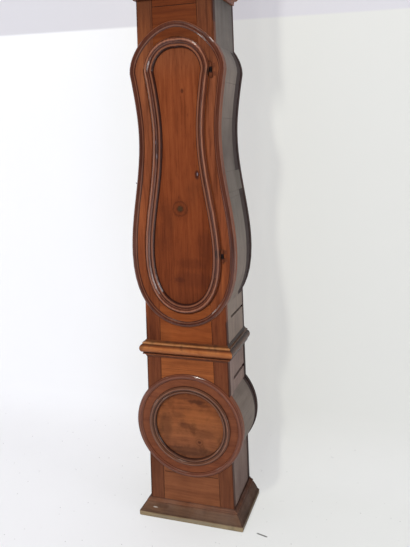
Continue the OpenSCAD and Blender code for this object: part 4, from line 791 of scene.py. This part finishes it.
def numeralStrokes(text, height):
    # outlines of the strokes of one numeral, in a frame with its foot at v = 0
    thick, thin, serif, widths = [dialPlan[key] for key in ("thick", "thin", "serif", "widths")]
    total = sum(widths[c] for c in text)
    left = -total / 2
    strokes = []

    def bar(u0, u1, wide):
        strokes.append([(u0 - wide / 2, 0), (u0 + wide / 2, 0),
                        (u1 + wide / 2, height), (u1 - wide / 2, height)])

    for c in text:
        w = widths[c]
        if c == "I":
            bar(left + w / 2, left + w / 2, thick)
        elif c == "V":
            bar(left + w / 2 + 0.0006, left + 0.0028, thick)
            bar(left + w / 2 + 0.0006, left + w - 0.0022, thin)
        else:
            bar(left + w - 0.0028, left + 0.0028, thick)
            bar(left + 0.0024, left + w - 0.0024, thin)
        left += w
    ends = total / 2 - 0.0004
    for v in (0, height - serif):
        strokes.append([(-ends, v), (ends, v), (ends, v + serif), (-ends, v + serif)])
    return strokes


def hourNumerals():
    plan = dialPlan
    foot, head, face = plan["numeralFoot"], plan["numeralHead"], plan["face"]
    figures = Heap()
    for hour, text in enumerate(plan["numerals"]):
        where = onDial(math.radians(30 * hour), foot, head)
        for layer, outline in enumerate(numeralStrokes(text, head - foot)):
            figures.prism(outline, face, face - plan["lift"] - 0.00002 * (layer % 5), where)
    makePiece("hour_numerals", figures, "blackPaint", "case")


def minuteTrack():
    plan = dialPlan
    face, lift, line = plan["face"], plan["lift"], plan["trackLine"]
    inside, outside = plan["trackInner"], plan["trackOuter"]
    track = Heap()
    for inner, outer in ((inside, inside + line), (outside - line, outside)):
        profile = [(outer, face), (outer, face - lift), (inner, face - lift), (inner, face)]
        turnedRing(track, dialAt, profile, 240)
    for minute in range(60):
        half = plan["minuteHalf"] if minute % 5 else plan["fiveHalf"]
        outline = [(-half, 0), (half, 0), (half, outside - inside), (-half, outside - inside)]
        track.prism(outline, face, face - lift - 0.00003, onDial(math.tau * minute / 60, inside))
    for hour in range(12):
        if hour not in plan["holeHours"]:
            track.prism(plan["lozenge"], face, face - lift, onDial(math.tau * hour / 12, plan["lozengeAt"]))
    makePiece("minute_track", track, "blackPaint", "case")


hourNumerals()
minuteTrack()

# Brass grommets in the dial's winding holes
grommetPlan = {
    "profile": [(0.0072, -0.0592), (0.0072, -0.0604), (0.008, -0.061), (0.0092, -0.0607),
                (0.0097, -0.06), (0.0085, -0.0599), (0.0075, -0.0592)],     # radius, y
}


def grommets():
    heap = Heap()
    for s in (-1, 1):
        turnedRing(heap, (s * barrelAt[0], barrelAt[1]), grommetPlan["profile"])
    makePiece("winding_grommets", heap, "sheetBrass", "case", True)


grommets()

# Pressed ornament of the crown plate: beads, leaf scrolls, a fan and a rosette
crownPlan = {
    "face": -0.0615,
    "beads": 84,
    "beadCircle": 0.1275,
    "bead": (0.0028, 0.0024),   # radius and height
    "rim": [(0.1115, 0), (0.1125, 0.0026), (0.115, 0.0032), (0.1175, 0.002), (0.12, 0.0026),
            (0.1225, 0.0008), (0.123, 0)],     # radius, relief
    "relief": 0.0032,
    "scrollSteps": 33,
    "scrollTurns": 1.35,
    "scrollEnd": (0.0034, 0.004),
    "scrolls": [(0.097, 0.072, 1, 0.02, 200), (0.06, 0.112, -1, 0.017, 30),
                (0.027, 0.15, 1, 0.015, 210)],   # x, z, way round, size, first bearing
    "leaves": [20, 33, 46, 59, 72],     # bearings
    "leafFoot": 0.1345,
    "leafTip": 0.15,
    "leafRelief": 0.0028,
    "fan": [-44, -33, -22, -11, 0, 11, 22, 33, 44],
    "fanUp": 0.14,         # height over the dial's middle
    "fanFoot": 0.006,
    "fanRelief": 0.003,
    "pearls": 10,
    "pearlCircle": 0.0125,
    "pearl": (0.003, 0.0022),
    # x, height over the dial's middle, radius, height, steps, rows
    "domes": [(0, 0.14, 0.0085, 0.0042, 20, 5), (0, 0.192, 0.0058, 0.004, 14, 4),
              (-0.01, 0.186, 0.0034, 0.0028, 10, 3), (0.01, 0.186, 0.0034, 0.0028, 10, 3)],
}


def dome(heap, x, z, radius, height, y, steps=10, rows=3):
    rings = []
    for i in range(rows):
        a = math.pi / 2 * i / rows
        rings.append([(x + radius * math.cos(a) * math.cos(b), y - height * math.sin(a),
                       z + radius * math.cos(a) * math.sin(b))
                      for b in [math.tau * j / steps for j in range(steps)]])
    start = len(heap.vertices)
    heap.sweep(rings, closedEnds=False)
    heap.vertices.append((x, y - height, z))
    tip = len(heap.vertices) - 1
    last = start + (rows - 1) * steps
    for j in range(steps):
        heap.faces.append((last + j, last + (j + 1) % steps, tip))
    heap.faces.append(tuple(start + steps - 1 - j for j in range(steps)))


def rib(heap, points, widths, y, height):
    # a rounded rib along points in X and Z, lying on the plane y
    rings = []
    count = len(points)
    for i, (px, pz) in enumerate(points):
        before, after = points[max(0, i - 1)], points[min(count - 1, i + 1)]
        run = Vector((after[0] - before[0], 0, after[1] - before[1])).normalized()
        side = Vector((run.z, 0, -run.x))
        w = widths[i]
        ring = []
        for a in (0, 36, 72, 108, 144, 180):
            c, s = math.cos(math.radians(a)), math.sin(math.radians(a))
            ring.append((px + side.x * w * c, y - height * min(1, w / 0.003) * s, pz + side.z * w * c))
        rings.append(ring)
    heap.sweep(rings)


def crownScroll(heap, s, scroll, y):
    plan = crownPlan
    x, z, way, size, first = scroll
    points = []
    widths = []
    for i in range(plan["scrollSteps"] + 1):
        t = i / plan["scrollSteps"]
        a = math.radians(first) + way * t * math.tau * plan["scrollTurns"]
        reach = size * (1 - 0.82 * t)
        points.append((s * (x + reach * math.cos(a)), dialAt[1] + z + reach * math.sin(a)))
        widths.append(0.0012 + 0.0022 * math.sin(math.pi * min(1, t * 1.15)) * (1 - 0.4 * t))
    rib(heap, points, widths, y, plan["relief"])
    dome(heap, *points[-1], *plan["scrollEnd"], y, 12)


def crownOrnament():
    plan = crownPlan
    y, middle = plan["face"], dialAt[1]
    heap = Heap()
    for i in range(plan["beads"]):
        a = math.tau * i / plan["beads"]
        dome(heap, plan["beadCircle"] * math.sin(a), middle + plan["beadCircle"] * math.cos(a),
             *plan["bead"], y, 8)
    turnedRing(heap, dialAt, [(radius, y - relief) for radius, relief in plan["rim"]], 120)
    for s in (-1, 1):
        for scroll in plan["scrolls"]:
            crownScroll(heap, s, scroll, y)
        for i, bearing in enumerate(plan["leaves"]):
            a = math.radians(bearing)
            foot, tip = plan["leafFoot"], plan["leafTip"] + 0.006 * math.sin(i * 2.1)
            points = [(s * reach * math.sin(a + 0.05 * t), middle + reach * math.cos(a + 0.05 * t))
                      for t, reach in [(k / 8, foot + (tip - foot) * k / 8) for k in range(9)]]
            rib(heap, points, [0.0008 + 0.003 * math.sin(math.pi * k / 8) for k in range(9)], y,
                plan["leafRelief"])
    fan = middle + plan["fanUp"]
    for bearing in plan["fan"]:
        a = math.radians(bearing)
        points = [(reach * math.sin(a), fan + reach * math.cos(a))
                  for reach in [plan["fanFoot"] + (0.03 + 0.01 * math.cos(a)) * k / 7 for k in range(8)]]
        widths = [0.0009 + 0.0024 * math.sin(math.pi * (0.15 + 0.8 * k / 7)) for k in range(8)]
        rib(heap, points, widths, y, plan["fanRelief"])
    for i in range(plan["pearls"]):
        a = math.tau * i / plan["pearls"]
        dome(heap, plan["pearlCircle"] * math.cos(a), fan + plan["pearlCircle"] * math.sin(a),
             *plan["pearl"], y, 8)
    for x, up, radius, height, steps, rows in plan["domes"]:
        dome(heap, x, middle + up, radius, height, y, steps, rows)
    makePiece("crown_ornament", heap, "sheetBrass", "case", True)


crownOrnament()
print("dial and crown done")

# Ropes: three-strand hemp, taut between the barrels and the weights
ropePlan = {
    "radius": 0.0025,
    "lay": 0.021,           # length of one turn of the strands
    "step": 0.003,
    "top": barrelAt[1],
    "bottom": 0.2932,
    "x": 0.0648,
    "y": 0.038,
    "travel": 1.55,
    "turns": 3,           # left on the barrel when the weight is down
    "pitch": 0.0056,        # from one turn on the barrel to the next
    "press": 0.0002,        # how much the rope flattens on the barrel
    "stepsPerTurn": 40,
}


def strandRing(centre, across, up, phase, radius):
    ring = []
    for j in range(12):
        a = math.tau * j / 12
        reach = radius * (0.82 + 0.18 * math.cos(3 * (a - phase)))
        ring.append(tuple(centre + across * (reach * math.cos(a)) + up * (reach * math.sin(a))))
    return ring


def straightRope(name, side, node):
    plan = ropePlan
    length = plan["top"] - plan["bottom"]
    count = int(length / plan["step"])
    heap = Heap()
    rings = []
    for i in range(count + 1):
        z = plan["top"] - length * i / count
        spot = Vector((side * plan["x"], plan["y"], z))
        phase = math.tau * (plan["top"] - z) / plan["lay"] / 3
        rings.append(strandRing(spot, Vector((1, 0, 0)), Vector((0, 1, 0)), phase, plan["radius"]))
    heap.sweep(rings)
    piece = makePiece(name, heap, "hemp", "case", True)
    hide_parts(node)
    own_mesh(piece)


def barrelTurns(name, side, body):
    # the last turns round the barrel, each a rope's width beyond the one before
    plan = ropePlan
    reach = plan["x"] - barrelAt[0]
    steps = int(plan["turns"] * plan["stepsPerTurn"])
    heap = Heap()
    rings = []
    for i in range(steps + 1):
        a = math.tau * plan["turns"] * i / steps
        outward = Vector((side * math.cos(a), 0, math.sin(a)))
        y = plan["y"] + plan["pitch"] * plan["turns"] * i / steps
        centre = Vector((side * barrelAt[0], y, barrelAt[1])) + outward * (reach - plan["press"])
        phase = a * reach / plan["lay"] * math.tau / 3
        rings.append(strandRing(centre, outward, Vector((0, 1, 0)), phase, plan["radius"]))
    heap.sweep(rings)
    makePiece(name, heap, "hemp", body, True)


straightRope("going_rope_strands", 1, "going_rope")
straightRope("strike_rope_strands", -1, "strike_rope")
barrelTurns("going_rope_turns", 1, "going_barrel")
barrelTurns("strike_rope_turns", -1, "strike_barrel")
print("ropes done")


# A bent iron nail in the left side, where the door was once pinned shut
nailPlan = [
    # place, half thickness
    ((-0.158, -0.088, 1.3528), 0.0013), ((-0.17, -0.0885, 1.353), 0.0013),
    ((-0.1735, -0.089, 1.3536), 0.0012), ((-0.1752, -0.0893, 1.356), 0.0011),
    ((-0.1754, -0.0894, 1.3582), 0.001),
]


def nail():
    heap = Heap()
    points = [Vector(place) for place, wide in nailPlan]
    rings = []
    for i, (place, wide) in enumerate(nailPlan):
        run = (points[min(len(points) - 1, i + 1)] - points[max(0, i - 1)]).normalized()
        side = run.cross(Vector((0, 1, 0))).normalized()
        front = run.cross(side)
        rings.append([points[i] + side * wide * math.cos(a) + front * wide * math.sin(a)
                      for a in [math.tau * j / 8 for j in range(8)]])
    heap.sweep(rings)
    makePiece("door_nail", heap, "nailIron", "case", True)


nail()
print("small ironwork done")

# The old door's arch is rounder than the case's own outline: its moulding and field follow that
archPlan = {
    "hips": 1.738,
    "left": 0.009,          # how far the moulding stands out at the shoulders
    "right": 0.011,
    "edgeHold": 0.025,      # the door's own edge stays, over this width
    "backFace": -0.0755,    # vertices behind this belong to the door's outer edge
    "clear": -0.0971,       # nothing planted outside the door's edge lies behind this
    "swell": 1.2,           # how much the push gathers at the shoulders
}


def roundArch(name, node, finish, wholeMoves):
    plan = archPlan
    source = nodes[node]
    mesh = source.data.copy()
    mesh.name = name
    turn = source.matrix_world
    spots = [turn @ vertex.co for vertex in mesh.vertices]
    bearings = [math.atan2(spot.z - plan["hips"], abs(spot.x)) for spot in spots]
    reaches = [math.hypot(spot.x, spot.z - plan["hips"]) for spot in spots]
    edge = sorted((bearing, reach) for spot, bearing, reach in zip(spots, bearings, reaches)
                  if bearing > 0 and spot.y > plan["backFace"])

    def edgeReach(bearing):
        for (a, low), (b, high) in zip(edge, edge[1:]):
            if a <= bearing <= b:
                return low + (high - low) * (bearing - a) / max(b - a, 1e-6)
        return edge[-1][1]

    for vertex, spot, bearing, reach in zip(mesh.vertices, spots, bearings, reaches):
        if bearing <= 0:
            continue
        hold = 1
        if not wholeMoves:
            hold = min(1, max(0, (edgeReach(bearing) - reach) / plan["edgeHold"]))
        reachOut = plan["right"] if spot.x > 0 else plan["left"]
        push = reachOut * math.sin(2 * bearing) ** plan["swell"] * hold
        spot.x *= 1 + push / reach
        spot.z = plan["hips"] + (spot.z - plan["hips"]) * (1 + push / reach)
        if wholeMoves and push > 0.002 and abs(spot.y - frontPlane) < 0.001:
            spot.y = plan["clear"]
        vertex.co = turn.inverted() @ spot
    mesh.update()
    piece = linked(name, mesh)
    piece.matrix_world = turn
    dress(mesh, finishes[finish])
    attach(piece, "trunk_door")
    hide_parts(node)


roundArch("door_arch_moulding", "door_moulding", "doorMoulding", True)
roundArch("door_arch_panel", "door_panel", "doorPanel", False)
print("door arch done")

# Floor and backdrop: a sheet of pale paper that sweeps up from the floor, below a wall's darker top
stagePlan = {
    "tones": {
        "wallLeft": (251, 252, 253), "wallRightShaded": (228, 229, 224), "above": (220, 219, 223),
        "floorLeft": (242, 242, 242), "floorRightShaded": (231, 232, 228), "speck": (190, 190, 190),
        "crumb": (120, 116, 112), "scrap": (60, 54, 50),
    },
    "scrap": (0.293, -0.121, 0.964, 0.266),     # x, y and direction of the dark scrap on the floor
    "paperTop": 1.985,
    "wallY": 0.45,
    "wallHeight": 4.5,
    "halfWidth": 5,
    "flat": (-4.5, -2),   # y of the paper's front edge and of a line across its flat part
    "bend": 0.28,           # radius of the sweep between floor and wall
    "bendSteps": 15,
    "under": -0.0002,       # the paper lies this little under the plinth, the floor lower still
    "floorUnder": -0.0006,
    "floorReach": 6,
    "ownGlow": 0.56,        # share of the backdrop's own paleness seen by the camera
}


def stageObject(name, vertices, faces, material):
    mesh = bpy.data.meshes.new(name)
    mesh.from_pydata(vertices, [], faces)
    dress(mesh, material)
    mesh.shade_smooth()
    linked(name, mesh)


def paleLook(name, oneSided):
    plan = stagePlan
    tones = plan["tones"]
    look = Look(name)
    cloud = look.cloud(1.3, 3)
    # Painted shade: the wall and floor grow darker and greener towards the right, away from the light
    wide = look.between(look.x + look.y * 0.2 + (cloud - 0.5) * 0.3, -0.75, 0.45)
    wall = look.blend(wide, tones["wallLeft"], tones["wallRightShaded"])
    top = look.between(look.z + look.x * 0.018, plan["paperTop"] - 0.008, plan["paperTop"] + 0.004)
    wall = look.blend(top, wall, tones["above"])
    ground = look.blend(wide, tones["floorLeft"], tones["floorRightShaded"])
    specks = look.cloud(26, 5, 0.7)
    ground = look.blend(look.between(specks, 0.66, 0.72) * 0.4, ground, tones["speck"])
    crumbs = look.node("ShaderNodeTexVoronoi", {}, {"Vector": look.place, "Scale": 22})
    ground = look.blend(look.fade(crumbs, 0.02, 0.07) * 0.6, ground, tones["crumb"])
    x, y, c, s = plan["scrap"]
    along = (look.x - x) * c - (look.y - y) * s
    aside = (look.x - x) * s + (look.y - y) * c
    scrap = look.fade(along.size(), 0.018, 0.026) * look.fade(aside.size(), 0.002, 0.005)
    ground = look.blend(scrap * 0.85, ground, tones["scrap"])
    tone = look.blend(look.between(look.z, 0.005, 0.24), ground, wall)
    lit = look.node("ShaderNodeBsdfDiffuse", {}, {"Color": tone})
    glow = look.node("ShaderNodeEmission", {}, {"Color": tone, "Strength": 1})
    seen = (look.ray("Is Camera Ray") + look.ray("Is Glossy Ray") + look.ray("Is Transmission Ray")).held()
    mixed = look.mixShader(seen * plan["ownGlow"], lit, glow)
    if oneSided:
        # from behind the wall doesn't hide the clock
        behind = look.node("ShaderNodeNewGeometry", {}, {}, "Backfacing")
        mixed = look.mixShader(behind, mixed, look.node("ShaderNodeBsdfTransparent", {}, {}))
    return look.finish(mixed)


def backdrop():
    plan = stagePlan
    bend, start = plan["bend"], plan["wallY"] - plan["bend"]
    profile = [(y, 0) for y in (*plan["flat"], start)]
    for i in range(1, plan["bendSteps"] + 1):
        a = math.pi / 2 * i / plan["bendSteps"]
        profile.append((start + bend * math.sin(a), bend - bend * math.cos(a)))
    profile.append((plan["wallY"], plan["wallHeight"]))
    half = plan["halfWidth"]
    vertices = [(x, y, z + plan["under"]) for x in (-half, half) for y, z in profile]
    n = len(profile)
    faces = [(i, n + i, n + i + 1, i + 1) for i in range(n - 1)]
    stageObject("paper", vertices, faces, paleLook("palePaper", True))
    reach, low = plan["floorReach"], plan["floorUnder"]
    corners = [(-reach, -reach, low), (reach, -reach, low), (reach, reach, low), (-reach, reach, low)]
    stageObject("floor", corners, [(0, 1, 2, 3)], paleLook("paleFloor", False))


backdrop()

# Soft studio light: two high lamps in front, a strip at each side and one overhead
lightPlan = [
    # name, place, aim, size, power, colour
    ("keyFront", (-0.36, -3.3, 3.9), (0, 0, 1.1), (0.22, 0.6), 84, (1, 1, 0.9)),
    ("keySecond", (0.2, -3.4, 4), (0, 0, 1.1), (0.3, 0.6), 18, (1, 1, 0.92)),
    ("stripLeft", (-2.6, -1.7, 1.25), (0, 0, 1.25), (0.16, 2.3), 11, (1, 1, 0.96)),
    ("stripRight", (2.6, -1, 1.25), (0, 0, 1.25), (0.16, 2.3), 11, (0.97, 0.98, 1)),
    ("overhead", (1.3, -0.4, 3.7), (0, 0, 1.5), (0.7, 0.3), 8, (1, 0.99, 0.97)),
]
roomLight = {
    # colour, strength
    "plain": ((0.93, 0.91, 1.2, 1), 0.5),         # soft light from all round
    "mirrored": ((0.9, 0.95, 1, 1), 0.1),       # what polish mirrors of the dim room
    "seen": ((0.93, 0.93, 0.94, 1), 1),
}


def lights():
    for name, place, aim, size, power, tone in lightPlan:
        data = bpy.data.lights.new(name, "AREA")
        data.shape = "RECTANGLE"
        data.size, data.size_y = size
        data.energy = power
        data.color = tone
        lamp = linked(name, data)
        lamp.location = place
        run = Vector(aim) - Vector(place)
        lamp.rotation_euler = run.to_track_quat("-Z", "Y").to_euler()
    look = Look("studio", world=True)
    plain, mirrored, seen = [look.node("ShaderNodeBackground", {}, dict(enumerate(roomLight[key])))
                             for key in ("plain", "mirrored", "seen")]
    mixed = look.mixShader(look.ray("Is Glossy Ray"), plain, mirrored)
    bpy.context.scene.world = look.finish(look.mixShader(look.ray("Is Camera Ray"), mixed, seen))


lights()
bpy.context.scene.view_settings.view_transform = "Standard"
print("stage and light done")
